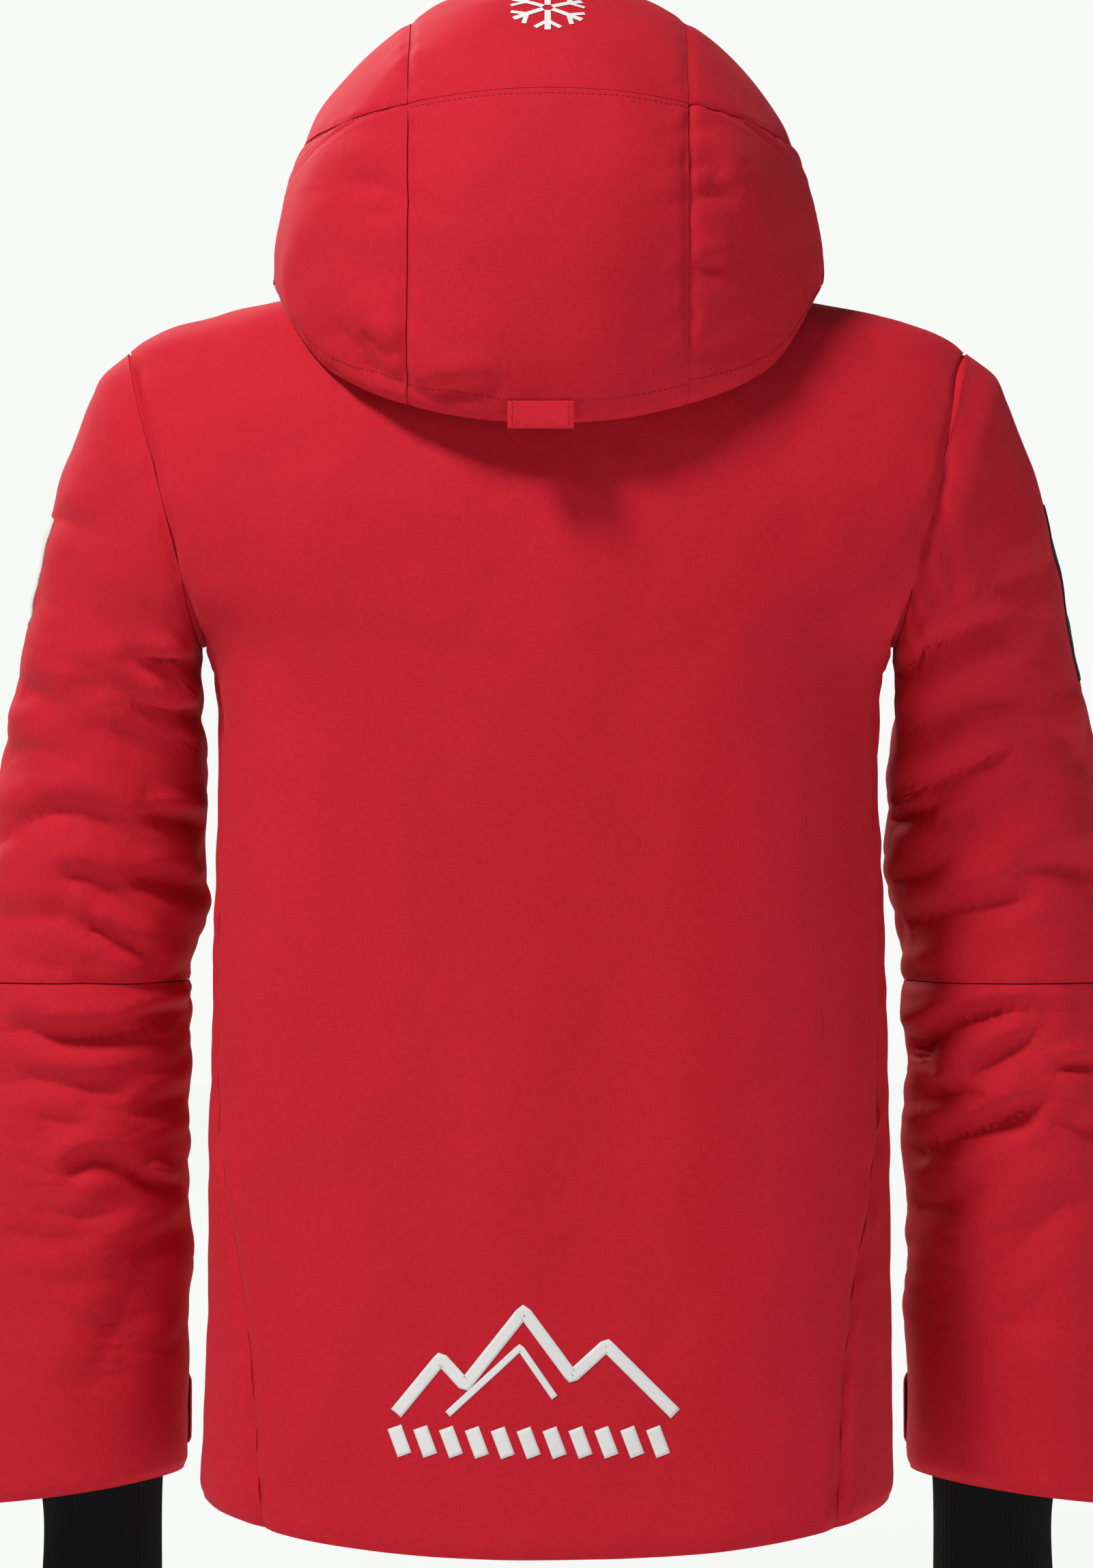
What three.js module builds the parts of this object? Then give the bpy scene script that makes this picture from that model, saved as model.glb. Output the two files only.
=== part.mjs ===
// An insulated ski jacket with its hood up, as worn, in millimetres. +Z is up and the front faces -Y.
// The wearer's left is +X. The origin is the middle of the neck opening, level with the back neck seam.
import * as THREE from 'three';
import { mergeVertices } from 'three/addons/utils/BufferGeometryUtils.js';

// ---- Driving dimensions ----
const HEM_DROP = 732;            // neck to hem at the sides
const HEM_TAIL = 24;             // how much longer the back hem hangs
const BODY_HALF_WIDTH = 203;     // at the waist
const BODY_BACK = 116;           // how far the back stands behind the origin
const FRONT_TOP = 100;           // how far the zip line stands before the origin at neck height
const FRONT_SLOPE = 0.067;       // how much it moves forward for each mm down
const NECK_HALF_WIDTH = 86;
const NECK_BACK = 72;
const NECK_FRONT_DROP = 68;
const SHOULDER_X = BODY_HALF_WIDTH + 49;      // top of the armhole
const SHOULDER_Z = -SHOULDER_X * 4 / 21;      // a wider shoulder falls further
const SHOULDER_SLOPE = 12;       // how far the back of the shoulders lies under their tops
const ARMPIT_X = BODY_HALF_WIDTH - 0.5;       // bottom of the armhole
const ARMPIT_Z = -238;
const SLEEVE_WIDTH = 133;        // across the elbow, seen from behind
const CUFF_WIDTH = 153;
const SLEEVE_DEPTH = 132;        // across the elbow, seen from the side
const ELBOW_Z = -427;
const CUFF_Z = -738;
const GAITER_WIDTH = 75;
const GAITER_END_Z = -820;
const HOOD_HALF_WIDTH = 165;
const HOOD_CROWN = 182;          // from the hood's ear line to its top
const HOOD_BACK = 157;           // from the hood's ear line to its back
const HOOD_STRIP = 82;           // half the width of the centre panels
const HOOD_SEAM = 103;           // height of the crown seam over the ear line, at its middle
const SEAM_SAG = 25;             // how far that seam would drop on its way to the ears
const COLLAR_HEIGHT = 70;
const SHELL = 2;                 // outer fabric
const WADDING = 5;
const LINING = 1.5;
const SLEEVE_WALL = 5;           // outer fabric and wadding together
const HOOD_WALL = 6;
const LAYER_GAP = 1.6;           // between the outer fabric and the wadding
const SEAM = 0.4;                // gap between sewn pieces
const LINING_GAP = 0.5;
const INNER_TUCK = 0.8;          // how far wadding and lining stop short of a seam
const ZIP_OPENING = 16;          // between the front edges
const POCKET_LENGTH = 170;
const POCKET_X = 128;
const POCKET_TOP_Z = -395;

const RAD = Math.PI / 180;
const colors = { red: 0xb3101f, dark: 0x2a2024, black: 0x111214, white: 0xe8e6e2, metal: 0x8a8c90 };
const jacket = new THREE.Group();

// ---- Tools ----
// A smooth curve through [t, value...] stations, by cubic Hermite spans.
function through(stations) {
  const slope = (i, k) => {
    const a = stations[Math.max(i - 1, 0)], b = stations[Math.min(i + 1, stations.length - 1)];
    return (b[k] - a[k]) / (b[0] - a[0]);
  };
  return (t) => {
    let i = 0;
    while (i < stations.length - 2 && t > stations[i + 1][0]) i++;
    const a = stations[i], b = stations[i + 1], h = b[0] - a[0];
    const s = Math.min(Math.max((t - a[0]) / h, 0), 1), s2 = s * s, s3 = s2 * s;
    return a.slice(1).map((p, j) => (2 * s3 - 3 * s2 + 1) * p + (s3 - 2 * s2 + s) * h * slope(i, j + 1)
      + (3 * s2 - 2 * s3) * b[j + 1] + (s3 - s2) * h * slope(i + 1, j + 1));
  };
}
const smooth = (a, b, x) => {
  const s = Math.min(Math.max((x - a) / (b - a), 0), 1);
  return s * s * (3 - 2 * s);
};
const power = (x, p) => Math.sign(x) * Math.abs(x) ** p;

function add(name, geometry, color, place) {
  const material = new THREE.MeshStandardMaterial({ color, roughness: 0.8, metalness: color === colors.metal ? 1 : 0 });
  const mesh = new THREE.Mesh(geometry, material);
  mesh.name = name;
  if (place) mesh.position.copy(place);
  jacket.add(mesh);
  return mesh;
}

// A closed sheet: one plane grid bent to point(u, v, outer), the same grid bent to point(u, v, inner)
// and turned over, and walls between their edges. Grid points that meet are made one.
function sheet(point, nu, nv, outer, inner, closed = false) {
  const grid = new THREE.PlaneGeometry(1, 1, nu, nv), at = grid.attributes.position, count = at.count;
  const positions = new Float32Array(count * 6), seen = new Map(), same = [];
  for (let i = 0; i < count; i++) {
    const u = at.getX(i) + 0.5, v = at.getY(i) + 0.5;
    [outer, inner].forEach((d, k) => point(closed && u > 1 - 1e-6 ? 0 : u, v, d).toArray(positions, 3 * (i + k * count)));
    const key = [0, 1, 2].map((k) => Math.round(positions[3 * i + k] * 200)).join();
    if (!seen.has(key)) seen.set(key, i);
    same[i] = seen.get(key);
  }
  const faces = [], edges = new Map();
  for (let i = 0; i < grid.index.count; i += 3) {
    const [a, b, c] = [0, 1, 2].map((k) => same[grid.index.array[i + k]]);
    if (a === b || b === c || c === a) continue;
    faces.push(a, b, c, a + count, c + count, b + count);
    for (const [from, to] of [[a, b], [b, c], [c, a]])
      if (!edges.delete(`${to},${from}`)) edges.set(`${from},${to}`, [from, to]);
  }
  for (const [from, to] of edges.values())
    faces.push(from, from + count, to + count, from, to + count, to);
  const bent = new THREE.BufferGeometry().setAttribute('position', new THREE.BufferAttribute(positions, 3));
  bent.setIndex(volume(bent.attributes.position, faces) < 0 ? faces.reverse() : faces);
  const clean = mergeVertices(bent, 2e-3);
  clean.computeVertexNormals();
  return clean;
}
function volume(p, index) {
  const at = (i) => new THREE.Vector3().fromBufferAttribute(p, i);
  let sum = 0;
  for (let i = 0; i < index.length; i += 3) sum += at(index[i]).dot(at(index[i + 1]).cross(at(index[i + 2])));
  return sum;
}
// Moves a surface in along its own normal, which points away from `inside`.
function inset(surface) {
  const e = 1e-3;
  return (u, v, d) => {
    const p = surface(u, v);
    if (d === 0) return p;
    const du = surface(Math.min(u + e, 1), v).sub(surface(Math.max(u - e, 0), v));
    const dv = surface(u, Math.min(v + e, 1)).sub(surface(u, Math.max(v - e, 0)));
    const n = du.cross(dv).normalize();
    const out = new THREE.Vector3(p.x, p.y, 0.35 * (p.z + 300 > 0 ? p.z + 300 : 0));
    if (n.dot(out) < 0) n.negate();
    return p.addScaledVector(n, -d);
  };
}

// ---- Body ----
// Rings from hem to neck: t, height at the sides, half width, back, squareness, front drop, back drop.
const ARMPIT_T = 0.45, SHOULDER_T = 0.82;
const belowArmpit = (share) => ARMPIT_Z - share * (HEM_DROP + ARMPIT_Z);
const towardsNeck = (share) => SHOULDER_X + (NECK_HALF_WIDTH - SHOULDER_X) * share;
const rings = through([
  [0, -HEM_DROP, BODY_HALF_WIDTH + 4, BODY_BACK + 2, 2.5, 3, HEM_TAIL],
  [0.15, belowArmpit(0.652), BODY_HALF_WIDTH, BODY_BACK - 3, 2.5, 2, 14],
  [0.3, belowArmpit(0.328), BODY_HALF_WIDTH - 2, BODY_BACK - 2, 2.45, 1, 7],
  [ARMPIT_T, ARMPIT_Z, ARMPIT_X - 1, BODY_BACK + 4, 2.4, 0, 2],
  [0.53, ARMPIT_Z + 53, ARMPIT_X + 46, BODY_BACK + 4, 2.25, 0, 0],
  [0.61, ARMPIT_Z + 98, SHOULDER_X + 20, BODY_BACK + 2, 2.15, 0, 0],
  [0.69, SHOULDER_Z - 52, SHOULDER_X + 23, BODY_BACK - 8, 2.05, NECK_FRONT_DROP - 56, 0],
  [0.76, SHOULDER_Z - 24, SHOULDER_X + 16, BODY_BACK - 19, 2, NECK_FRONT_DROP - 38, 0.4 * SHOULDER_SLOPE],
  [SHOULDER_T, SHOULDER_Z - 2, SHOULDER_X + 2, BODY_BACK - 30, 2, NECK_FRONT_DROP - 23, 0.8 * SHOULDER_SLOPE],
  [0.88, SHOULDER_Z + 12, towardsNeck(0.1), BODY_BACK - 37, 2, NECK_FRONT_DROP - 15, SHOULDER_SLOPE],
  [0.93, SHOULDER_Z + 24, towardsNeck(0.34), BODY_BACK - 42, 2, NECK_FRONT_DROP - 10, 0.8 * SHOULDER_SLOPE],
  [0.97, -14, towardsNeck(0.69), NECK_BACK + 1, 2, NECK_FRONT_DROP - 6, 0.3 * SHOULDER_SLOPE],
  [1, -4, NECK_HALF_WIDTH, NECK_BACK, 2, NECK_FRONT_DROP, 0],
]);
const zipLine = (z) => -(FRONT_TOP + FRONT_SLOPE * -z);
// The body's outer face at ring t and angle a, from the back's middle round to the left.
function body(t, a) {
  const [side, half, back, square, frontDrop, backDrop] = rings(t);
  const front = zipLine(side - frontDrop), depth = (back - front) / 2;
  const c = power(Math.cos(a), 2 / square);
  const drop = c < 0 ? frontDrop * c * c : backDrop * c * c;
  return new THREE.Vector3(half * power(Math.sin(a), 2 / square), (back + front) / 2 + depth * c, side - drop);
}
// How far a point lies outside the plane of the left armhole.
const armNormal = new THREE.Vector3(SHOULDER_Z - ARMPIT_Z, 0, ARMPIT_X - SHOULDER_X).normalize();
const armTop = new THREE.Vector3(SHOULDER_X, 0, SHOULDER_Z);
const outside = (p) => armNormal.dot(p.clone().sub(armTop));
// The angle at which ring t meets that plane, between a well inside it and `out` straight to the side.
function armholeAngle(t, middle, margin) {
  let a = middle, b = Math.PI / 2;
  if (outside(body(t, b)) < -margin) return b;
  for (let i = 0; i < 40; i++) {
    const m = (a + b) / 2;
    if (outside(body(t, m)) < -margin) a = m; else b = m;
  }
  return a;
}
const seamAngle = SEAM / 2 / BODY_HALF_WIDTH;
// The back's side seam runs in towards the middle below the waist.
const backSeam = through([[0, 51], [0.1, 58], [0.16, 68], [0.21, 76], [0.3, 79], [ARMPIT_T, 80]]);
const frontSeamAngle = 100 * RAD;
const zipAngle = (t, gap) => {
  const [, half, , square] = rings(t);
  return Math.PI - Math.asin((gap / half) ** (square / 2));
};
const backEdge = (t) => (t <= ARMPIT_T ? Math.min(backSeam(t)[0] * RAD, armholeAngle(ARMPIT_T, 0, SEAM / 2))
  : armholeAngle(t, 0, SEAM / 2)) - seamAngle;
const frontEdge = (t) => (t <= ARMPIT_T ? Math.max(frontSeamAngle, armholeAngle(ARMPIT_T, Math.PI, SEAM / 2))
  : armholeAngle(t, Math.PI, SEAM / 2)) + seamAngle;
// Rows of the grid, with one on the armpit and one on the shoulder tip.
const rows = [0, 0.06, 0.13, 0.2, 0.32, ARMPIT_T, 0.49, 0.53, 0.61, 0.69, 0.76, SHOULDER_T, 0.88, 0.93, 0.97, 1];
const rowAt = (v) => {
  const f = v * (rows.length - 1), i = Math.min(Math.floor(f + 1e-9), rows.length - 2);
  return rows[i] + (rows[i + 1] - rows[i]) * (f - i);
};
const mirror = (side, p) => { p.x *= side; return p; };
// The layers thin out towards the neck seam.
const layer = (edgeA, edgeB, side = 1) => {
  const inner = inset((u, v) => {
    const t = rowAt(v), a = edgeA(t);
    return mirror(side, body(t, a + (edgeB(t) - a) * u));
  });
  return (u, v, d) => inner(u, v, d * (1 - 0.65 * smooth(0.88, 1, rowAt(v))));
};
const BACK_COLUMNS = 12, FRONT_COLUMNS = 7, BODY_ROWS = rows.length - 1;
const depths = { shell: [0, SHELL], wadding: [SHELL + LAYER_GAP, SHELL + LAYER_GAP + WADDING] };
depths.lining = [depths.wadding[1] + LINING_GAP, depths.wadding[1] + LINING_GAP + LINING];
// Outer fabric, wadding and lining are cut to the same outlines and sewn together at the seams.
const layers = [['panel', depths.shell, colors.red], ['wadding', depths.wadding, colors.white],
  ['lining', depths.lining, colors.dark]];
const halfOpening = ZIP_OPENING / 2, TAPE_EDGE = 14;
const sideRows = rows.filter((t) => t <= ARMPIT_T);
const sideRowAt = (v) => rowAt(v * (sideRows.length - 1) / (rows.length - 1));
for (const [part, depth, color] of layers) {
  const tuck = part === 'panel' ? 0 : INNER_TUCK / BODY_HALF_WIDTH;
  add(`back_${part}`, sheet(layer((t) => tuck - backEdge(t), (t) => backEdge(t) - tuck), BACK_COLUMNS, BODY_ROWS, ...depth), color);
  const opening = part === 'panel' ? halfOpening : 2 * halfOpening;
  for (const [name, side] of [['left', 1], ['right', -1]]) {
    add(`${name}_front_${part}`, sheet(layer((t) => frontEdge(t) + tuck, (t) => zipAngle(t, opening), side), FRONT_COLUMNS,
      BODY_ROWS, ...depth), color);
    // The side runs from hem to underarm between the two side seams.
    const sidePiece = inset((u, v) => {
      const t = sideRowAt(v), a = backEdge(t) + 2 * seamAngle;
      return mirror(side, body(t, a + (frontEdge(t) - 2 * seamAngle - a) * u));
    });
    add(`${name}_side_${part}`, sheet(sidePiece, 4, sideRows.length - 1, ...depth), color);
  }
}

// ---- Collar ----
// It stands on the neck seam and leans in a little; its front edges follow the zip line.
const collarGap = 2;
function collar(u, v) {
  const a = (2 * u - 1) * zipAngle(1, TAPE_EDGE + 1.5);
  const base = body(1, a), rise = collarGap + v * COLLAR_HEIGHT;
  const lean = 1 - 0.05 * v, z = base.z + rise;
  const front = smooth(0.2, 1, -Math.cos(a));
  return new THREE.Vector3(base.x * lean, base.y * lean * (1 - front) + (zipLine(z) - zipLine(base.z) + base.y) * front, z);
}
const aroundAxis = (surface) => (u, v, d) => {
  const p = surface(u, v), r = Math.hypot(p.x, p.y), k = (r - d) / r;
  return new THREE.Vector3(p.x * k, p.y * k, p.z);
};
add('collar', sheet(aroundAxis(collar), 24, 3, 0, 5), colors.red);
add('collar_lining', sheet(aroundAxis(collar), 24, 3, 5.5, 7), colors.black);
const LOOP = { half: 24, top: 36, sag: 14, stand: 15, radius: 1.6 };
const loopSeat = body(1, Math.asin(LOOP.half / NECK_HALF_WIDTH)).y - 11.3;
const loop = new THREE.CatmullRomCurve3([[-1, 0], [-0.85, 0.35], [-0.5, 0.85], [0, 1], [0.5, 0.85], [0.85, 0.35], [1, 0]]
  .map(([x, k]) => new THREE.Vector3(LOOP.half * x, loopSeat - LOOP.stand * k, LOOP.top - LOOP.sag * k)));
const cord = new THREE.Shape().absellipse(0, 0, LOOP.radius, LOOP.radius, 0, 2 * Math.PI);
add('hanger_loop', new THREE.ExtrudeGeometry(cord, { steps: 16, curveSegments: 6, extrudePath: loop, bevelEnabled: false }),
  colors.black);

// ---- Main zip ----
// Everything on it is drawn upright and then tipped to lie along the zip line.
const zipBottom = -HEM_DROP + 6;
const zipTop = body(1, zipAngle(1, halfOpening)).z + COLLAR_HEIGHT - 4;
const tip = Math.atan(FRONT_SLOPE);
const zipLength = (zipTop - zipBottom) / Math.cos(tip);
const onZip = (z) => new THREE.Vector3(0, zipLine(z), z);
const TOOTH = [0.8, 3.4], TOOTH_DEPTH = [0.9, 5.1], TAPE_DEPTH = [2.4, 3.4];
const STOP = 16;                                  // bottom box
function bar(x0, x1, depth0, depth1, length) {
  const box = new THREE.BoxGeometry(x1 - x0, depth1 - depth0, length);
  return box.translate((x0 + x1) / 2, (depth0 + depth1) / 2, -length / 2);
}
function alongZip(name, geometry, color, z) {
  const mesh = add(name, geometry, color, onZip(z));
  mesh.rotation.x = -tip;
  return mesh;
}
for (const [name, side] of [['left', 1], ['right', -1]]) {
  const span = (a, b) => (side > 0 ? [a, b] : [-b, -a]);
  alongZip(`${name}_zip_teeth`, bar(...span(...TOOTH), ...TOOTH_DEPTH, zipLength - STOP), colors.black, zipTop);
  alongZip(`${name}_zip_tape`, bar(...span(TOOTH[1] + 0.3, TAPE_EDGE), ...TAPE_DEPTH, zipLength - STOP), colors.black, zipTop);
}
const bottomZ = zipTop - (zipLength - STOP + 0.4) * Math.cos(tip);
alongZip('zip_bottom_box', bar(-5, 5, 0.4, 5.4, STOP - 2), colors.black, bottomZ);
alongZip('storm_flap', bar(-15, 15, 11.4, 13.4, zipLength), colors.red, zipTop);

// A slider: two plates joined by a web, with flanges that leave slots for the tapes.
const SLIDER_LENGTH = 12;
function sliderBody(front, back, half, web) {
  const outline = [[half, front], [half, 2.0], [half - 1, 2.0], [half - 1, front + 1.3], [web, front + 1.3],
    [web, back - 1.3], [half - 1, back - 1.3], [half - 1, 3.8], [half, 3.8], [half, back]];
  const shape = new THREE.Shape([...outline, ...outline.map(([x, y]) => [-x, y]).reverse()]
    .map(([x, y]) => new THREE.Vector2(x, y)));
  return new THREE.ExtrudeGeometry(shape, { depth: SLIDER_LENGTH, bevelEnabled: false });
}
alongZip('main_zip_slider', sliderBody(-1, 7, 6, 0.4), colors.metal, zipTop - SLIDER_LENGTH - 2);
// A pull: a flat tab that hangs before its slider.
const PULL = { width: 7, length: 34, thick: 1.6 };
function pullTab(length, width) {
  const shape = new THREE.Shape();
  shape.moveTo(-width / 2, 0).lineTo(-width / 2, -length + width / 2);
  shape.absarc(0, -length + width / 2, width / 2, Math.PI, 2 * Math.PI).lineTo(width / 2, 0);
  return new THREE.ExtrudeGeometry(shape, { depth: PULL.thick, bevelEnabled: false, curveSegments: 6 })
    .rotateX(Math.PI / 2);
}
const pull = alongZip('main_zip_pull', pullTab(PULL.length, PULL.width), colors.black, zipTop - SLIDER_LENGTH + 6);
pull.translateY(-1.4);

// ---- Pocket zips ----
// Each lies upright on its front panel, and its slider runs on it.
const POCKET_WIDTH = 14, POCKET_WELT = 1.6;
function frontAngle(t, x) {
  const [, half, , square] = rings(t);
  return Math.PI - Math.asin((x / half) ** (square / 2));
}
const pocketBottomZ = POCKET_TOP_Z - POCKET_LENGTH;
const ringAt = (z) => {
  let a = 0, b = ARMPIT_T;
  for (let i = 0; i < 40; i++) { const m = (a + b) / 2; if (rings(m)[0] < z) a = m; else b = m; }
  return a;
};
for (const [name, side] of [['left', 1], ['right', -1]]) {
  const welt = inset((u, v) => mirror(side, body(ringAt(pocketBottomZ + POCKET_LENGTH * v),
    frontAngle(ringAt(pocketBottomZ + POCKET_LENGTH * v), POCKET_X + POCKET_WIDTH * (u - 0.5)))));
  add(`${name}_pocket_zip`, sheet(welt, 3, 10, -0.5 - POCKET_WELT, -0.5), colors.black);
  const top = mirror(side, welt(0.5, 1, 0)), bottom = welt(0.5, 0, 0);
  const seat = welt(0.5, 0.95, 0), outward = welt(0.5, 0.95, -1).sub(seat);
  const turn = Math.atan2(outward.x, -outward.y);
  const lean = Math.atan2(top.y - bottom.y, top.z - bottom.z);
  const at = seat.clone().addScaledVector(outward, POCKET_WELT + 2.2);
  const slider = add(`${name}_pocket_slider`, new THREE.BoxGeometry(8, 3, 9), colors.metal, at);
  slider.rotation.set(-lean, 0, turn, 'ZYX');
  const tab = add(`${name}_pocket_pull`, pullTab(24, 6), colors.black, at.clone().addScaledVector(outward, 1.9));
  tab.rotation.set(-lean, 0, turn, 'ZYX');
}

// ---- Powder skirt ----
// A loose band inside the waist, sewn to the lining along its top edge.
const skirt = (u, v, d) => {
  const t = 0.06 + 0.09 * v, gap = depths.lining[1] + 3.5 + 14 * (1 - v);
  const a = (2 * u - 1) * zipAngle(t, 24);
  const p = body(t, a), c = rings(t), mid = (c[2] + zipLine(p.z)) / 2, r = Math.hypot(p.x, p.y - mid);
  const k = (r - gap - d) / r;
  return new THREE.Vector3(p.x * k, mid + (p.y - mid) * k, p.z);
};
add('powder_skirt', sheet(skirt, 28, 3, 0, 1.5), colors.black);

// ---- Sleeves ----
// Two rails, seen from behind, hold each ring between them: s, outer x and z, inner x and z,
// the ring's middle in y and half its depth.
const half = SLEEVE_DEPTH / 2, elbowInner = ARMPIT_X + 14.5, cuffInner = ARMPIT_X + 19.5;
const elbowOuter = elbowInner + SLEEVE_WIDTH, cuffOuter = cuffInner + CUFF_WIDTH;
const towardsCuff = (share) => ELBOW_Z + (CUFF_Z - ELBOW_Z) * share;
const rails = through([
  [0, SHOULDER_X, SHOULDER_Z, ARMPIT_X, ARMPIT_Z, 1, half + 1],
  [0.12, SHOULDER_X + 20, SHOULDER_Z - 17, ARMPIT_X + 5, ARMPIT_Z - 13, -5, half + 3],
  [0.28, SHOULDER_X + 38, SHOULDER_Z - 60, ARMPIT_X + 6.5, ARMPIT_Z - 31, -18, half + 5],
  [0.44, SHOULDER_X + 52, SHOULDER_Z - 110, ARMPIT_X + 5, ARMPIT_Z - 55, -32, half + 5],
  [0.6, SHOULDER_X + 66, SHOULDER_Z - 170, ARMPIT_X + 3.5, ARMPIT_Z - 82, -46, half + 4],
  [0.8, SHOULDER_X + 84, SHOULDER_Z - 262, ARMPIT_X + 7, ARMPIT_Z - 128, -57, half + 2],
  [1, elbowOuter, ELBOW_Z, elbowInner, ELBOW_Z, -62, half],
  [1.35, elbowOuter + 11, towardsCuff(0.347), elbowInner + 2, towardsCuff(0.341), -69, half - 1],
  [1.7, cuffOuter - 6, towardsCuff(0.685), cuffInner - 1, towardsCuff(0.666), -79, half + 1],
  [2, cuffOuter, CUFF_Z - 10, cuffInner, CUFF_Z + 10, -88, half + 2],
]);
const rail = (s) => {
  const [ox, oz, ix, iz, y, depth] = rails(s);
  const outer = new THREE.Vector3(ox, y, oz), inner = new THREE.Vector3(ix, y, iz);
  return { middle: outer.clone().add(inner).multiplyScalar(0.5), across: outer.clone().sub(inner).normalize(),
    radius: outer.distanceTo(inner) / 2, depth };
};
// The armhole's own outline in its plane: how far it lies from the ring's middle at angle a.
const start = rail(0);
function armholeRadius(a) {
  let lo = 5, hi = 140;
  for (let i = 0; i < 40; i++) {
    const m = (lo + hi) / 2;
    const p = start.middle.clone().addScaledVector(start.across, m * Math.cos(a));
    p.y += m * Math.sin(a);
    if (insideBody(p)) lo = m; else hi = m;
  }
  return lo;
}
function insideBody(p) {
  if (p.z < ARMPIT_Z) return false;
  let a = 0.3, b = 0.9;
  for (let i = 0; i < 30; i++) { const m = (a + b) / 2; if (rings(m)[0] < p.z) a = m; else b = m; }
  const [side, halfWidth, back, square, frontDrop] = rings(a);
  const front = zipLine(side - frontDrop), depth = (back - front) / 2;
  return Math.abs(p.x / halfWidth) ** square + Math.abs((p.y - (back + front) / 2) / depth) ** square < 1;
}
const AROUND = 16;
const armhole = Array.from({ length: AROUND }, (_, i) => armholeRadius((i / AROUND) * 2 * Math.PI));
// A point on the sleeve at station s and angle a, d inside its outer face, on the left arm.
function sleeve(s, a, d) {
  const { middle, across, radius, depth } = rail(s);
  const cos = Math.cos(a), sin = Math.sin(a);
  const k = Math.round((a / (2 * Math.PI)) * AROUND) % AROUND;
  const round = 1 / Math.hypot(cos / (radius - d), sin / (depth - d));
  const r = round + (armhole[(k + AROUND) % AROUND] - d - round) * (1 - smooth(0, 0.3, s));
  const p = middle.addScaledVector(across, r * cos);
  p.y += r * sin;
  return p;
}
function sleevePiece(stations, side, outer, inner, lift = 0) {
  const point = (u, v, d) => {
    const f = v * (stations.length - 1), i = Math.min(Math.round(f), stations.length - 1);
    const p = sleeve(stations[i], u * 2 * Math.PI, d);
    if (i === 0) p.addScaledVector(armNormal, lift);
    return mirror(side, p);
  };
  return sheet(point, AROUND, stations.length - 1, outer, inner, true);
}
const upperStations = [0, 0.06, 0.12, 0.2, 0.28, 0.36, 0.44, 0.6, 0.8, 0.999];
const lowerStations = [1.001, 1.15, 1.35, 1.7, 1.85, 2];
const sleeveLining = [SLEEVE_WALL + LINING_GAP, SLEEVE_WALL + LINING_GAP + LINING];
// A patch on the sleeve between two stations and two angles, for tabs and badges.
const patch = (s0, s1, a0, a1, side) => (u, v, d) => mirror(side, sleeve2(s0 + (s1 - s0) * v, a0 + (a1 - a0) * u, d));
function sleeve2(s, a, d) {
  const { middle, across, radius, depth } = rail(s);
  const r = 1 / Math.hypot(Math.cos(a) / (radius - d), Math.sin(a) / (depth - d));
  const p = middle.addScaledVector(across, r * Math.cos(a));
  p.y += r * Math.sin(a);
  return p;
}
const CUFF_TAB = { top: 1.82, bottom: 1.96, sewn: 265 * RAD, free: 183 * RAD, thick: 2 };
// The inner cuff leaves the lining, narrows and hangs below the sleeve.
const gaiterRings = through([
  [0, 0.1, CUFF_Z + 60, 0], [0.3, 0.55, CUFF_Z + 30, 0.6], [0.55, 1, CUFF_Z - 4, 1], [1, 1, GAITER_END_Z, 1]]);
const gaiterX = cuffInner + 53.5, gaiterY = -92, gaiterWall = 2.5;
function gaiter(u, v, d) {
  const [, z, narrow] = gaiterRings(v), a = u * 2 * Math.PI;
  const wide = sleeve2(1.82 + 0.18 * v, a, sleeveLining[1] + 1 + d), r = GAITER_WIDTH / 2 - d;
  const thin = new THREE.Vector3(gaiterX + r * Math.cos(a), gaiterY + r * Math.sin(a), z);
  return wide.lerp(thin, narrow).setZ(wide.z + (z - wide.z) * Math.min(1, v * 3));
}
const BADGES = { left: [0.4, 0.58, 0.26, colors.white], right: [0.38, 0.66, 0.24, colors.black] };
for (const [name, side] of [['left', 1], ['right', -1]]) {
  const lift = SEAM / 2;
  add(`${name}_upper_sleeve`, sleevePiece(upperStations, side, 0, SLEEVE_WALL, lift), colors.red);
  add(`${name}_upper_sleeve_lining`, sleevePiece(upperStations, side, ...sleeveLining, lift), colors.dark);
  add(`${name}_lower_sleeve`, sleevePiece(lowerStations, side, 0, SLEEVE_WALL), colors.red);
  add(`${name}_lower_sleeve_lining`, sleevePiece(lowerStations.slice(0, -1), side, ...sleeveLining), colors.dark);
  const tab = patch(CUFF_TAB.bottom, CUFF_TAB.top, CUFF_TAB.free, CUFF_TAB.sewn, side);
  add(`${name}_cuff_tab`, sheet(tab, 6, 2, -1 - CUFF_TAB.thick, -1), colors.red);
  add(`${name}_gaiter`, sheet((u, v, d) => mirror(side, gaiter(u, v, d)), AROUND, 5, 0, gaiterWall, true), colors.black);
  const [top, bottom, spread, color] = BADGES[name];
  add(`${name}_badge`, sheet(patch(bottom, top, -spread, spread, side), 3, 4, -1.8, -1), color);
}

// ---- Hood ----
// Arches stand on a line between the ears: l goes round an arch, b turns the arch from back to front.
const EAR = new THREE.Vector3(0, 3, -9);
const hoodRadius = through([[-30, HOOD_BACK + 7], [0, HOOD_BACK], [43, HOOD_BACK + 13], [90, HOOD_CROWN],
  [140, HOOD_CROWN - 10], [195, HOOD_CROWN - 32]]);
const LIP = -34, CHIN = 193, BROW = 140;
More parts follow.
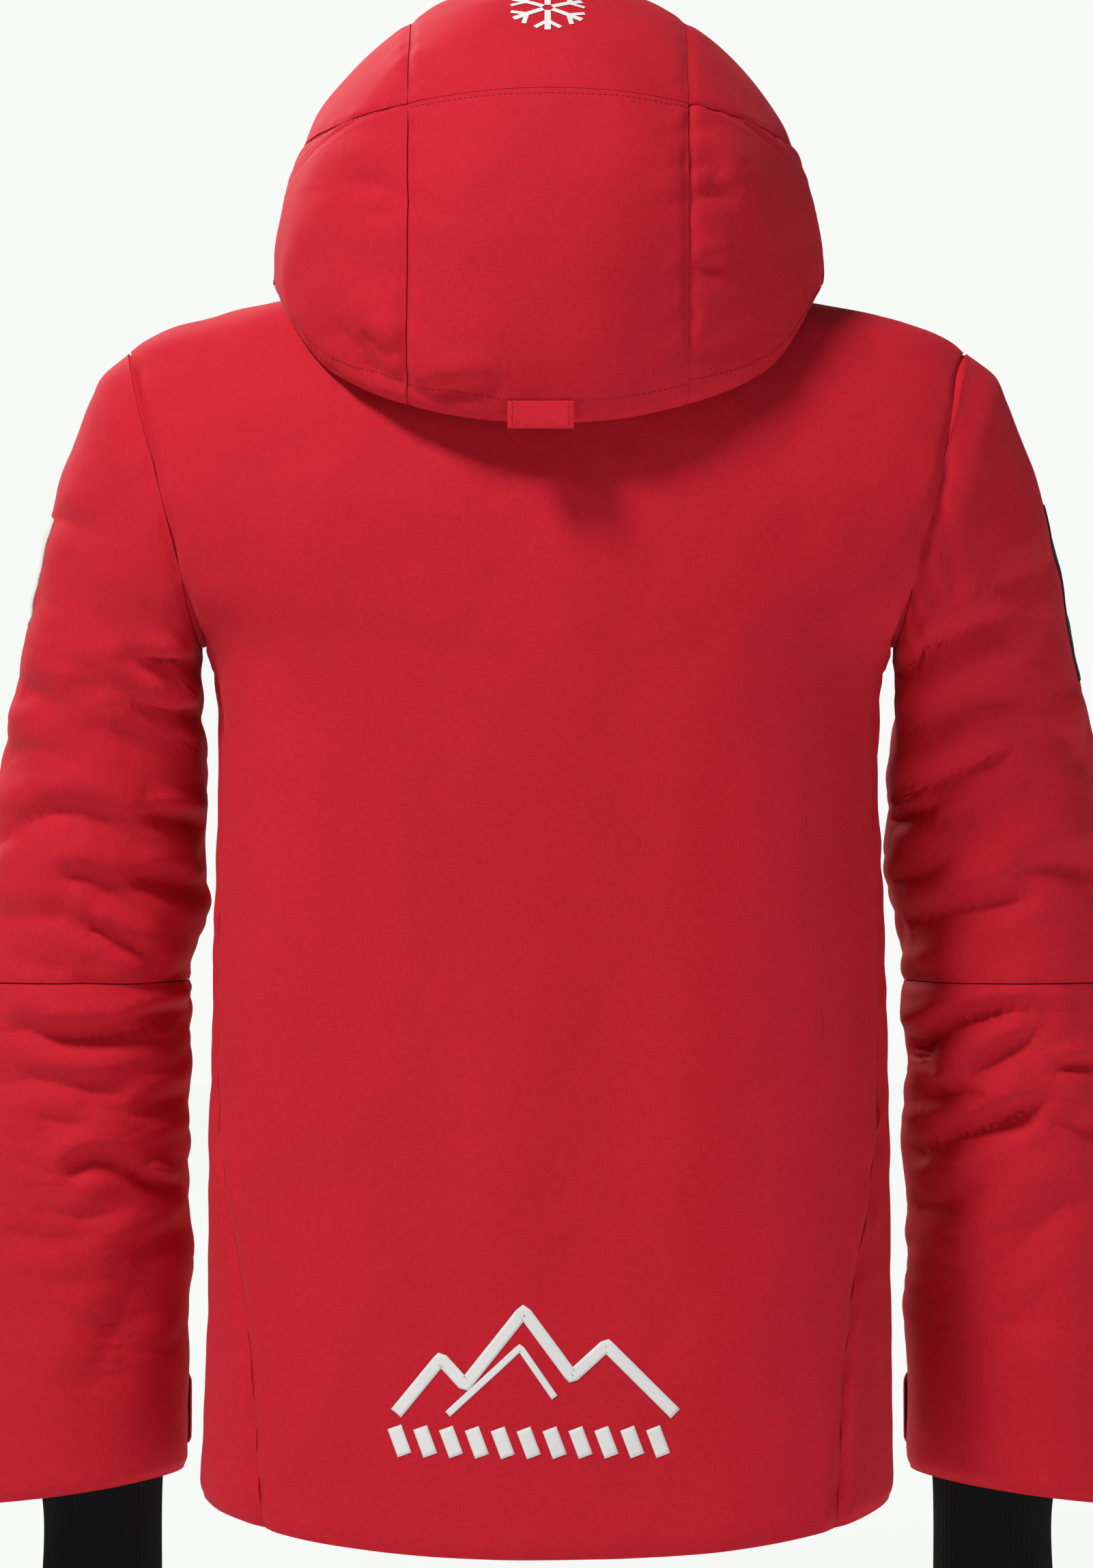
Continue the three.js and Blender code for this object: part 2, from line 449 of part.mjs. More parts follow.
// Near the ears the lip and the chin edge rise, to clear the shoulders.
function riseAtEar(l, b) {
  const near = smooth(50 * RAD, 90 * RAD, Math.abs(l));
  if (b < 20) return 20 + (b - 20) * (50 - 22 * near) / 50;
  return b > 160 ? 160 + (b - 160) * (33 - 18 * near) / 33 : b;
}
function hood(l, turn, d) {
  const b = riseAtEar(l, turn);
  const r = (hoodRadius(b)[0] - d) * Math.cos(l);
  return new THREE.Vector3((HOOD_HALF_WIDTH - d) * Math.sin(l), EAR.y + r * Math.cos(b * RAD), EAR.z + r * Math.sin(b * RAD));
}
const strip = Math.asin(HOOD_STRIP / HOOD_HALF_WIDTH);
// Where the crown seam crosses the arch at turn b. It drops with the square of the sine of l.
const crownSeam = (b) => {
  const rise = hoodRadius(b)[0] * Math.sin(b * RAD);
  if (rise <= HOOD_SEAM) return 0;
  return Math.acos((rise - Math.sqrt(rise ** 2 - 4 * SEAM_SAG * (HOOD_SEAM - SEAM_SAG))) / (2 * SEAM_SAG));
};
function turnOfSeam(l, from, to) {
  let a = from, b = to;
  for (let i = 0; i < 40; i++) {
    const m = (a + b) / 2;
    const high = hoodRadius(m)[0] * Math.cos(l) * Math.sin(m * RAD) > HOOD_SEAM - SEAM_SAG * Math.sin(l) ** 2;
    if (high) b = m; else a = m;
  }
  return a;
}
const seamBack = turnOfSeam(strip, 0, 90), seamFront = turnOfSeam(strip, 180, 90);
const JAW = 52 * RAD;
const hoodGap = SEAM / 2 / HOOD_BACK, turnGap = hoodGap / RAD;
// The side panel's inner edge: beside the centre panel, under the crown seam, then down the face opening.
const sideEdge = (b) => (b < seamBack ? strip : b > seamFront
  ? strip + (JAW - strip) * smooth(seamFront, CHIN, b) : Math.max(strip, crownSeam(b)));
const turns = [LIP, -24, -12, 0, 10, 20, 32, seamBack, seamBack + 4, seamBack + 8, 57, 68,
  80, 90, 100, 112, 124, seamFront - 8, seamFront - 4, seamFront, 145, 157, 169, 181, CHIN];
const turnAt = (v) => {
  const f = v * (turns.length - 1), i = Math.min(Math.floor(f + 1e-9), turns.length - 2);
  return turns[i] + (turns[i + 1] - turns[i]) * (f - i);
};
const HOOD_SIDE_COLUMNS = 6, HOOD_STRIP_COLUMNS = 6;
const hoodPiece = (l0, l1, b0, b1, side = 1) => (u, v, d) => {
  const b = b0(0) + (b1(0) - b0(0)) * v, l = l0(b) + (l1(b) - l0(b)) * u;
  return mirror(side, hood(l, b0(l) + (b1(l) - b0(l)) * v, d));
};
const level = (b) => () => b;
const backSeamTurn = (l) => turnOfSeam(l, 0, 90);
add('hood_centre_back_panel', sheet(hoodPiece(level(-strip + hoodGap), level(strip - hoodGap), level(LIP),
  (l) => backSeamTurn(l) - turnGap), HOOD_STRIP_COLUMNS, 8, 0, HOOD_WALL), colors.red);
add('hood_centre_crown_panel', sheet(hoodPiece(level(-strip + hoodGap), level(strip - hoodGap),
  (l) => backSeamTurn(l) + turnGap, level(BROW)), HOOD_STRIP_COLUMNS, 10, 0, HOOD_WALL), colors.red);
for (const [name, side] of [['left', 1], ['right', -1]]) {
  const sidePanel = (u, v, d) => {
    const b = turnAt(v), l = sideEdge(b) + hoodGap;
    return mirror(side, hood(l + (Math.PI / 2 - l) * u, b, d));
  };
  add(`hood_${name}_side_panel`, sheet(sidePanel, HOOD_SIDE_COLUMNS, turns.length - 1, 0, HOOD_WALL), colors.red);
  const inner = turns.filter((b) => b >= seamBack && b <= seamFront);
  const crown = (u, v, d) => {
    const f = v * (inner.length - 1), i = Math.min(Math.floor(f + 1e-9), inner.length - 2);
    const b = inner[i] + (inner[i + 1] - inner[i]) * (f - i);
    const edge = Math.max(sideEdge(b) - hoodGap, strip + hoodGap);
    return mirror(side, hood(strip + hoodGap + (edge - strip - hoodGap) * u, b, d));
  };
  add(`hood_${name}_crown_panel`, sheet(crown, 3, inner.length - 1, 0, HOOD_WALL), colors.red);
}
// The lining covers the whole inside, up to the face opening.
const openingTurn = (l) => {
  const a = Math.abs(l);
  if (a <= strip) return BROW;
  let lo = seamFront, hi = CHIN;
  for (let i = 0; i < 30; i++) { const m = (lo + hi) / 2; if (sideEdge(m) < a) lo = m; else hi = m; }
  return Math.max(lo, BROW);
};
const FACE_TUCK = 1.6;                           // how far the lining stops short of the face opening
const hoodLining = (u, v, d) => {
  const l = (2 * u - 1) * Math.PI / 2, end = openingTurn(l) - FACE_TUCK;
  return hood(l, LIP + (end - LIP) * v, d);
};
const hoodLiningDepth = HOOD_WALL + 0.013 * HOOD_HALF_WIDTH;
add('hood_lining', sheet(hoodLining, 16, 14, hoodLiningDepth, hoodLiningDepth + LINING), colors.dark);
// The brim stiffens the brow; it stands forward of the centre and crown panels.
const BRIM = 14, BRIM_WALL = 4;
const brim = (u, v, d) => {
  const l = (2 * u - 1) * (strip - hoodGap);
  const p = hood(l, BROW, d);
  p.y -= SEAM + BRIM * v * Math.cos(l);
  p.z -= BRIM * 0.25 * v + SEAM;
  return p;
};
add('hood_brim', sheet(brim, HOOD_STRIP_COLUMNS, 1, 0, BRIM_WALL), colors.red);
// The neck panel closes the hood from its lip in to the neck seam, round the back.
const NECK_PANEL = { half: 84 * RAD, thick: 1.5, over: 3.5, hump: 29, inLip: hoodLiningDepth + LINING + 0.0145 * HOOD_HALF_WIDTH };
const neckPanel = (u, v, d) => {
  const a = (2 * u - 1) * NECK_PANEL.half;
  const lip = hood(a, LIP + 1, NECK_PANEL.inLip);
  const seat = body(1, a * 0.98);
  seat.set(seat.x * 1.03, seat.y * 1.05, seat.z + NECK_PANEL.over);
  const p = seat.lerp(lip, v);
  p.z += NECK_PANEL.hump * v * (1 - v) - d;
  return p;
};
add('hood_neck_panel', sheet(neckPanel, 18, 4, 0, NECK_PANEL.thick), colors.red);
// The size tab is a flat sewn loop that straddles the lip at its middle.
const tabWidth = 38, tabHeight = 17, tabThick = 2.4;
const tabTop = hood(0, LIP + 4, -1.2);
add('hood_size_tab', new THREE.BoxGeometry(tabWidth, tabThick, tabHeight).rotateX(-LIP * RAD * 0.6), colors.red,
  new THREE.Vector3(4, tabTop.y + 3.2, tabTop.z - 4));

export default jacket;
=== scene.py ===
import bpy
import bmesh
import numpy as np
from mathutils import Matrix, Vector


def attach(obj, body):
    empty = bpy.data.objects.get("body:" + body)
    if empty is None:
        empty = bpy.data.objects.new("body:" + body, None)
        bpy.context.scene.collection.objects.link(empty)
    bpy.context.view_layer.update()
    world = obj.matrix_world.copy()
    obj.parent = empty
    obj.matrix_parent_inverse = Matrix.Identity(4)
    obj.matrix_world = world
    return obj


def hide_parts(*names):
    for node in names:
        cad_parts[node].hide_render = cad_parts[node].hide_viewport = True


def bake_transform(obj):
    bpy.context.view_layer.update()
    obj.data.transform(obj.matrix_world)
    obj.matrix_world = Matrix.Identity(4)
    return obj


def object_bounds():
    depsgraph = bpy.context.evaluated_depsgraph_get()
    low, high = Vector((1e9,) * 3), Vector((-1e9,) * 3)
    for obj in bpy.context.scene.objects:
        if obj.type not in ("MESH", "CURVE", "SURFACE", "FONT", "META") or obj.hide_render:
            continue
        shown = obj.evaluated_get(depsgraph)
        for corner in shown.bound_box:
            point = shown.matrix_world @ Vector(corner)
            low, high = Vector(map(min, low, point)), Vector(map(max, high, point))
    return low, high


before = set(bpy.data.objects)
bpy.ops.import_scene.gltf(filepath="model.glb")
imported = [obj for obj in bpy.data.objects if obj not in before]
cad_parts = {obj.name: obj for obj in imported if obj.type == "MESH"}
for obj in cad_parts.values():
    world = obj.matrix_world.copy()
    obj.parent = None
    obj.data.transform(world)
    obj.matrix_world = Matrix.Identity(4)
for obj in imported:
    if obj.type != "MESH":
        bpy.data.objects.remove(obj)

cad_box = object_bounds()

# ---- Camera ----
# A level view of the jacket's back from a little over three metres, with the hood's top and the
# lower ends of the gaiters just outside the picture, as a shop shows a garment on a hidden form.
VIEW_DISTANCE, VIEW_LENS = 3.2, 122.4
VIEW_ASIDE, VIEW_ABOVE_LOWEST = 0.0007, 0.513
camera = bpy.data.objects.new("camera", bpy.data.cameras.new("camera"))
bpy.context.scene.collection.objects.link(camera)
bpy.context.scene.camera = camera
camera.location = (VIEW_ASIDE, VIEW_DISTANCE, cad_box[0].z + VIEW_ABOVE_LOWEST)
camera.rotation_euler = (np.pi / 2, 0, np.pi)
camera.data.lens = VIEW_LENS
camera.data.sensor_width = 36


# ---- Body panels ----
# One back, two fronts and two narrow sides, each a laminated outer fabric quilted to wadding.
# They are cut to the same outlines as their linings and joined at the side, shoulder and armhole seams.
def through(stations):
    """A smooth curve through rows of [t, values...]: a cubic Hermite span between each two rows, with the
    slope at a row taken from the rows on either side of it. It gives a function of t."""
    table = np.array(stations, float)
    t, p = table[:, 0], table[:, 1:]
    before, after = np.maximum(np.arange(len(t)) - 1, 0), np.minimum(np.arange(len(t)) + 1, len(t) - 1)
    slope = (p[after] - p[before]) / (t[after] - t[before])[:, None]

    def at(x):
        x = np.asarray(x, float)
        i = np.clip(np.searchsorted(t, x, side="right") - 1, 0, len(t) - 2)
        h = t[i + 1] - t[i]
        k = np.clip((x - t[i]) / h, 0, 1)[..., None]
        h = h[..., None]
        return ((2 * k**3 - 3 * k**2 + 1) * p[i] + (k**3 - 2 * k**2 + k) * h * slope[i]
                + (3 * k**2 - 2 * k**3) * p[i + 1] + (k**3 - k**2) * h * slope[i + 1])
    return at


def smooth(a, b, x):
    """0 below a, 1 above b, and an S curve between them."""
    s = np.clip((x - a) / (b - a), 0, 1)
    return s * s * (3 - 2 * s)


def halved(inside, low, high, rounds):
    """Where inside stops holding on the way from low to high, found by halving the span."""
    for _ in range(rounds):
        m = (low + high) / 2
        within = inside(m)
        low, high = np.where(within, m, low), np.where(within, high, m)
    return low


def power(x, p):
    """The size of x to a power, with the sign of x."""
    return np.sign(x) * np.abs(x) ** p


HEM_DROP, HALF_WIDTH = 0.732, 0.203
SHOULDER, ARMPIT = (0.252, -0.048), (0.2025, -0.238)
ARMPIT_T, SHOULDER_T = 0.45, 0.82
SEAM = 0.0004
rings = through([
    [0, -HEM_DROP, .207, .118, 2.5, .003, .024], [.15, -.56, .203, .113, 2.5, .002, .014],
    [.3, -.4, .201, .114, 2.45, .001, .007], [ARMPIT_T, -.238, .2015, .12, 2.4, 0, .002],
    [.53, -.185, .2485, .12, 2.25, 0, 0], [.61, -.14, .272, .118, 2.15, 0, 0],
    [.69, -.1, .275, .108, 2.05, .012, 0], [.76, -.072, .268, .097, 2, .03, .0048],
    [SHOULDER_T, -.05, .254, .086, 2, .045, .0096], [.88, -.036, .2354, .079, 2, .053, .012],
    [.93, -.024, .1956, .074, 2, .058, .0096], [.97, -.014, .1375, .073, 2, .062, .0036],
    [1, -.004, .086, .072, 2, .068, 0]])
arm_normal = np.array([SHOULDER[1] - ARMPIT[1], 0, ARMPIT[0] - SHOULDER[0]])
arm_normal /= np.linalg.norm(arm_normal)
arm_top = np.array([SHOULDER[0], 0, SHOULDER[1]])


def zip_line(z):
    """How far the zip stands before the neck's middle at height z: a straight line."""
    return -(0.1 - 0.067 * z)


def body(t, a):
    """The body's outer face at ring t and angle a from the back's middle: a superellipse between the back
    and the zip line, with its front and back edges let down by the square of the cosine."""
    t, a = np.broadcast_arrays(np.asarray(t, float), a)
    side, half, back, square, front_drop, back_drop = np.moveaxis(rings(t), -1, 0)
    front = zip_line(side - front_drop)
    c = power(np.cos(a), 2 / square)
    drop = np.where(c < 0, front_drop, back_drop) * c * c
    return np.stack([half * power(np.sin(a), 2 / square), (back + front) / 2 + (back - front) / 2 * c,
                     side - drop], -1)


def armhole_angle(t, middle, margin):
    """The angle at which ring t comes within a margin of the armhole's plane, or the side if it never does."""
    def within(a):
        return (body(t, a) - arm_top) @ arm_normal < -margin
    low, high = np.full(np.shape(t), float(middle)), np.full(np.shape(t), np.pi / 2)
    return np.where(within(high), np.pi / 2, halved(within, low, high, 36))


# The side panel's back seam, in degrees from the back's middle, by ring.
back_seam = through([[0, 51], [.1, 58], [.16, 68], [.21, 76], [.3, 79], [ARMPIT_T, 80]])
FRONT_SEAM = np.radians(100)
seam_angle = SEAM / 2 / HALF_WIDTH


def back_edge(t):
    """The back panel's edge angle: the side seam up to the armpit, then the armhole."""
    low = np.minimum(np.radians(back_seam(t)[..., 0]), armhole_angle(ARMPIT_T, 0, SEAM / 2))
    return np.where(t <= ARMPIT_T, low, armhole_angle(t, 0, SEAM / 2)) - seam_angle


def front_edge(t):
    """A front panel's outer edge angle: its side seam up to the armpit, then the armhole."""
    low = np.maximum(FRONT_SEAM, armhole_angle(ARMPIT_T, np.pi, SEAM / 2))
    return np.where(t <= ARMPIT_T, low, armhole_angle(t, np.pi, SEAM / 2)) + seam_angle


def zip_angle(t, gap):
    """The angle at which ring t's front lies gap metres from the middle."""
    _, half, _, square, _, _ = np.moveaxis(rings(t), -1, 0)
    return np.pi - np.arcsin((gap / half) ** (square / 2))


ROWS = np.array([0, .06, .13, .2, .32, ARMPIT_T, .49, .53, .61, .69, .76, SHOULDER_T, .88, .93, .97, 1])


def row_at(v, rows=ROWS):
    """Ring stations spread evenly over the rows of the table."""
    return np.interp(v * (len(rows) - 1), np.arange(len(rows)), rows)


def facing(grid, around=False):
    """Unit normals of a grid of points: the cross product of the differences along its two ways."""
    du = np.roll(grid, -1, 1) - np.roll(grid, 1, 1) if around else np.gradient(grid, axis=1)
    n = np.cross(du, np.gradient(grid, axis=0))
    return n / (np.linalg.norm(n, axis=-1, keepdims=True) + 1e-12)


def outward(grid, inside, around=False):
    """The same normals, all turned away from the point or points inside."""
    n = facing(grid, around)
    return n * np.sign(np.mean(np.sum(n * (grid - inside), -1)))


def along(grid, axis):
    """Distance travelled over the grid along one way, in metres."""
    step = np.linalg.norm(np.diff(grid, axis=axis), axis=-1)
    start = np.zeros_like(np.take(step, [0], axis))
    return np.cumsum(np.concatenate([start, step], axis), axis)


def edges(grid):
    """Distance from a grid's left, right, lower and upper edges."""
    u, v = along(grid, 1), along(grid, 0)
    return u, u[:, -1:] - u, v, v[-1:] - v


def ripple(p, size, seed, waves=26):
    """Soft noise at points p: the mean of many plane waves about `size` metres long, in seeded
    directions and phases, scaled to about -1 to 1."""
    draw = np.random.default_rng(seed)
    way = draw.normal(size=(waves, 3))
    way *= (2 * np.pi / size * draw.uniform(.6, 1.5, waves) / np.linalg.norm(way, axis=1))[:, None]
    return np.sin(p @ way.T + draw.uniform(0, 2 * np.pi, waves)).sum(-1) / np.sqrt(waves / 2) / 1.6


def pulled(distance, depth, width):
    """How far a seam draws the padding in: a bell of the distance from it."""
    return -depth * np.exp(-(distance / width) ** 2)


def puckers(distance, travel, seed, depth, reach, pitch):
    """Short gathers that stand across a seam and die away from it: noise along the seam times an
    exponential of the distance."""
    line = np.stack([travel, 0 * travel, 0.35 * distance], -1)
    return depth * ripple(line, pitch, seed) * np.exp(-distance / reach)


def corners(g):
    """The four corners of each of a grid's cells, in order round it."""
    return np.stack([g[:-1, :-1], g[:-1, 1:], g[1:, 1:], g[1:, :-1]], 2).reshape(-1, 4, *g.shape[2:])


def piece(name, outer, inner, around=False, poles=False, crisp=48):
    """A closed shell at the origin: the outer grid, the inner grid turned over, and walls along their free
    edges. The cloth map holds metres along the grid's two ways. Points that meet at a pole become one."""
    rows, columns = outer.shape[:2]
    count = rows * columns
    index, spread = np.arange(count).reshape(rows, columns), outer
    if around:
        index, spread = np.hstack([index, index[:, :1]]), np.concatenate([outer, outer[:, :1]], 1)
    cloth = np.stack([along(spread, 1), along(spread, 0)], -1)
    face, mark = corners(index), corners(cloth)
    faces, marks = [face, face[:, ::-1] + count], [mark, mark[:, ::-1]]
    rims = [(index[0], cloth[0], 1), (index[-1], cloth[-1], -1)]
    if not around:
        rims += [(index[:, 0], cloth[:, 0], -1), (index[:, -1], cloth[:, -1], 1)]
    for line, at, turn in rims:
        a, b = line[:-1], line[1:]
        faces.append(np.stack([b, a, a + count, b + count], 1)[:, ::turn])
        marks.append(np.stack([at[1:], at[:-1], at[:-1], at[1:]], 1)[:, ::turn])
    points = np.concatenate([outer.reshape(-1, 3), inner.reshape(-1, 3)])
    faces, marks = np.concatenate(faces), np.concatenate(marks)
    a, b, c, d = (points[faces[:, k]] for k in range(4))
    if np.sum(a * (np.cross(b, c) + np.cross(c, d))) < 0:
        faces, marks = faces[:, ::-1], marks[:, ::-1]
    return solid(name, points, faces, marks, poles, crisp)


def solid(name, points, faces, marks=None, poles=False, crisp=48):
    """An object at the origin from points and faces, shaded smooth but for edges sharper than crisp degrees."""
    mesh = bpy.data.meshes.new(name)
    mesh.from_pydata(points.tolist(), [], faces.tolist())
    if marks is not None:
        mesh.uv_layers.new(name="cloth").data.foreach_set("uv", marks.astype(np.float32).ravel())
    if poles:
        merge = bmesh.new()
        merge.from_mesh(mesh)
        bmesh.ops.remove_doubles(merge, verts=merge.verts, dist=2e-5)
        merge.to_mesh(mesh)
        merge.free()
    mesh.shade_smooth()
    mesh.set_sharp_from_angle(angle=np.radians(crisp))
    made = bpy.data.objects.new(name, mesh)
    bpy.context.scene.collection.objects.link(made)
    return made


def dressed(made, material, nodes=None, body_name=None):
    """A piece with its finish, the CAD nodes it stands for, if any, and the body it rides on."""
    made.data.materials.append(material)
    if nodes is not None:
        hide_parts(*nodes)
    if body_name:
        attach(made, body_name)
    return made


class Value:
    """One shader socket. Arithmetic on it adds Math nodes."""

    def __init__(self, finish, socket):
        self.finish, self.socket = finish, socket

    def maths(self, operation, *values):
        """One Math node over the values."""
        return self.finish.node("Math", {"operation": operation}, dict(enumerate(values)))

    def __add__(self, other): return self.maths("ADD", self, other)
    def __radd__(self, other): return self.maths("ADD", other, self)
    def __sub__(self, other): return self.maths("SUBTRACT", self, other)
    def __rsub__(self, other): return self.maths("SUBTRACT", other, self)
    def __mul__(self, other): return self.maths("MULTIPLY", self, other)
    def __rmul__(self, other): return self.maths("MULTIPLY", other, self)

    def between(self, low, high):
        """0 below low, 1 above high, and an S curve between them."""
        return self.finish.node("MapRange", {"interpolation_type": "SMOOTHSTEP"}, {0: self, 1: low, 2: high})


class Finish:
    """A material being made."""

    def __init__(self, name):
        self.made = bpy.data.materials.new(name)
        self.made.use_nodes = True
        self.tree = self.made.node_tree
        self.tree.nodes.clear()

    def node(self, kind, settings, sockets, out=0):
        """Any node: its settings first, a ramp's stops among them, then values or links on its sockets."""
        made = self.tree.nodes.new("ShaderNode" + kind)
        for key, value in settings.items():
            if key == "stops":
                while len(made.color_ramp.elements) < len(value):
                    made.color_ramp.elements.new(1)
                for stop, (at, color) in zip(made.color_ramp.elements, value):
                    stop.position, stop.color = at, color
            else:
                setattr(made, key, value)
        for key, value in sockets.items():
            if isinstance(value, Value):
                self.tree.links.new(value.socket, made.inputs[key])
            else:
                made.inputs[key].default_value = value
        return Value(self, made.outputs[out] if made.outputs else None)

    def place(self):
        """Where a point lies on the object."""
        return self.node("TexCoord", {}, {}, "Object")

    def cloth(self, stretch):
        """Where a point lies on its piece's cloth map, stretched by a factor along each of its ways."""
        spot = self.node("UVMap", {"uv_map": "cloth"}, {})
        return self.node("VectorMath", {"operation": "MULTIPLY"}, {0: spot, 1: (*stretch, 1)})

    def noise(self, where, scale, detail=2.0, roughness=0.5):
        """Soft noise from 0 to 1, scale spots to a metre."""
        return self.node("TexNoise", {}, {"Vector": where, "Scale": scale, "Detail": detail,
                                          "Roughness": roughness})

    def mix(self, amount, first, second):
        """A colour between two others."""
        return self.node("Mix", {"data_type": "RGBA"}, {0: amount, 6: first, 7: second}, 2)

    def done(self, sockets, relief=None, depth=0.001, strength=1.0):
        """Closes the material: relief, if any, goes through a Bump node whose height is depth metres."""
        if relief is not None:
            sockets["Normal"] = self.node("Bump", {}, {"Strength": strength, "Distance": depth,
                                                       "Height": relief})
        surface = self.node("BsdfPrincipled", {}, sockets)
        self.node("OutputMaterial", {}, {"Surface": surface})
        return self.made


def woven(name, light, dark, pitch=0.0011, roughness=0.82, sheen=0.08, tint=(1, 1, 1, 1), relief=0.00012):
    """Plain-woven cloth: two noises stretched along the warp and the weft cross into a fine irregular
    weave, which tints the colour, roughens it and lifts it; a slow noise lets whole areas vary a little."""
    finish = Finish(name)
    warp = finish.noise(finish.cloth((1, .2)), 1 / pitch, 1)
    weft = finish.noise(finish.cloth((.2, 1)), 1 / pitch, 1)
    slow = finish.noise(finish.place(), 14, 3)
    weave = (warp + weft) * .5
    shade = weave.between(.34, .66) * .75 + slow.between(.3, .7) * .25
    return finish.done({"Base Color": finish.mix(shade, dark, light),
                        "Roughness": roughness + (weave - .5) * .25,
                        "Specular IOR Level": .14, "Sheen Weight": sheen, "Sheen Roughness": .45,
                        "Sheen Tint": tint}, weave, relief, .55)


red = woven("red fabric", (.60, .0135, .0290, 1), (.49, .0098, .0215, 1), tint=(1, .35, .38, 1))
PADDING = 0.0086
BACK_AXIS = np.array([0, -.02, -.4])


def drape(p):
    """How the laminated shell hangs: long upright undulations and a fainter, finer one."""
    return (.0019 * ripple(p * (1, .8, .22), .17, 3) + .0009 * ripple(p * (1, .8, .35), .075, 4)
            + .0003 * ripple(p, .035, 5))


def body_grid(edge_a, edge_b, side, columns, rows=ROWS, count=211):
    """A grid of the body between two edge angles, from hem to neck."""
    t = row_at(np.linspace(0, 1, count), rows)[:, None]
    a, b = edge_a(t), edge_b(t)
    return body(t, a + (b - a) * np.linspace(0, 1, columns)) * (side, 1, 1), t


def lining_tuck(t):
    """The layers thin out towards the neck seam."""
    return 1 - .65 * smooth(.88, 1, t)


def panel(name, grid, t, seam_sides, nodes):
    """One insulated panel: its outer face swells and drapes, and dips at the seams that hold it."""
    n = outward(grid, BACK_AXIS)
    left, right, low, up = edges(grid)
    lift = drape(grid) * smooth(0, .05, up)
    lift += pulled(low, .0028, .0045) + pulled(up, .001, .006)
    for travel, distance, held in ((low, left, seam_sides[0]), (low, right, seam_sides[1])):
        if held:
            lift += pulled(distance, .0026, .0055)
            lift += puckers(distance, travel, len(name), .0009, .022, .03)
    made = piece(name, grid + n * lift[..., None], grid - n * (PADDING * lining_tuck(t))[..., None])
    dressed(made, red, nodes, "torso")


SIDE_ROWS = ROWS[ROWS <= ARMPIT_T]
SIDES = (("left", 1), ("right", -1))
back_grid, back_t = body_grid(lambda t: -back_edge(t), back_edge, 1, 181)
panel("back_shell", back_grid, back_t, (True, True), ("back_panel", "back_wadding"))
for name, side in SIDES:
    grid, t = body_grid(front_edge, lambda t: zip_angle(t, .008), side, 91)
    panel(f"{name}_front_shell", grid, t, (True, False), (f"{name}_front_panel", f"{name}_front_wadding"))
    grid, t = body_grid(lambda t: back_edge(t) + 2 * seam_angle, lambda t: front_edge(t) - 2 * seam_angle,
                        side, 41, SIDE_ROWS, 141)
    panel(f"{name}_side_shell", grid, t, (True, True), (f"{name}_side_panel", f"{name}_side_wadding"))


# ---- Sleeves ----
# Each sleeve is an upper and a lower tube of quilted shell, joined by a seam above the elbow and set into the
# armhole on a bias. The padding crumples into short folds, deepest in the crook and above and below the elbow.
rails = through([
    [0, .252, -.048, .2025, -.238, .001, .067], [.12, .272, -.065, .2075, -.251, -.005, .069],
    [.28, .29, -.108, .209, -.269, -.018, .071], [.44, .304, -.158, .2075, -.293, -.032, .071],
    [.6, .318, -.218, .206, -.32, -.046, .07], [.8, .336, -.31, .2095, -.366, -.057, .068],
    [1, .35, -.427, .217, -.427, -.062, .066], [1.35, .361, -.535, .219, -.533, -.069, .065],
    [1.7, .369, -.64, .221, -.634, -.079, .067], [2, .375, -.748, .222, -.728, -.088, .068]])
SLEEVE_WALL = .005


def rail(s):
    """A sleeve's ring at station s: its middle, its outward way, half its width and half its depth."""
    ox, oz, ix, iz, y, depth = np.moveaxis(rails(s), -1, 0)
    outer, inner = np.stack([ox, y, oz], -1), np.stack([ix, y, iz], -1)
    way = outer - inner
    width = np.linalg.norm(way, axis=-1)
    return (outer + inner) / 2, way / width[..., None], width / 2, depth


def within_body(p):
    """Whether points near the armhole lie inside the body's own section at their height."""
    t = halved(lambda m: rings(m)[..., 0] < p[..., 2], np.full(p.shape[:-1], .3), np.full(p.shape[:-1], .9), 28)
    side, half, back, square, front_drop, _ = np.moveaxis(rings(t), -1, 0)
    front = zip_line(side - front_drop)
    y = (p[..., 1] - (back + front) / 2) / ((back - front) / 2)
    return (np.abs(p[..., 0] / half) ** square + np.abs(y) ** square < 1) & (p[..., 2] >= ARMPIT[1])


def armhole_reach(a):
    """How far the armhole's outline lies from its middle at angle a."""
    middle, way, _, _ = rail(0.0)

    def within(reach):
        p = middle + way * (reach * np.cos(a))[:, None]
        p[:, 1] += reach * np.sin(a)
        return within_body(p)
    return halved(within, np.full(a.shape, .005), np.full(a.shape, .14), 34)


def sleeve(s, a, d=0.0, reach=None):
    """The sleeve's face at station s and angle a from the outer edge over the back, d inside: an ellipse,
    which near the root turns into the armhole's own outline."""
    s, a = np.broadcast_arrays(np.asarray(s, float), a)
    middle, way, width, depth = rail(s)
    r = 1 / np.hypot(np.cos(a) / (width - d), np.sin(a) / (depth - d))
    if reach is not None:
        r = r + (reach - d - r) * (1 - smooth(0, .3, s))
    p = middle + way * (r * np.cos(a))[..., None]
    p[..., 1] += r * np.sin(a)
    return p


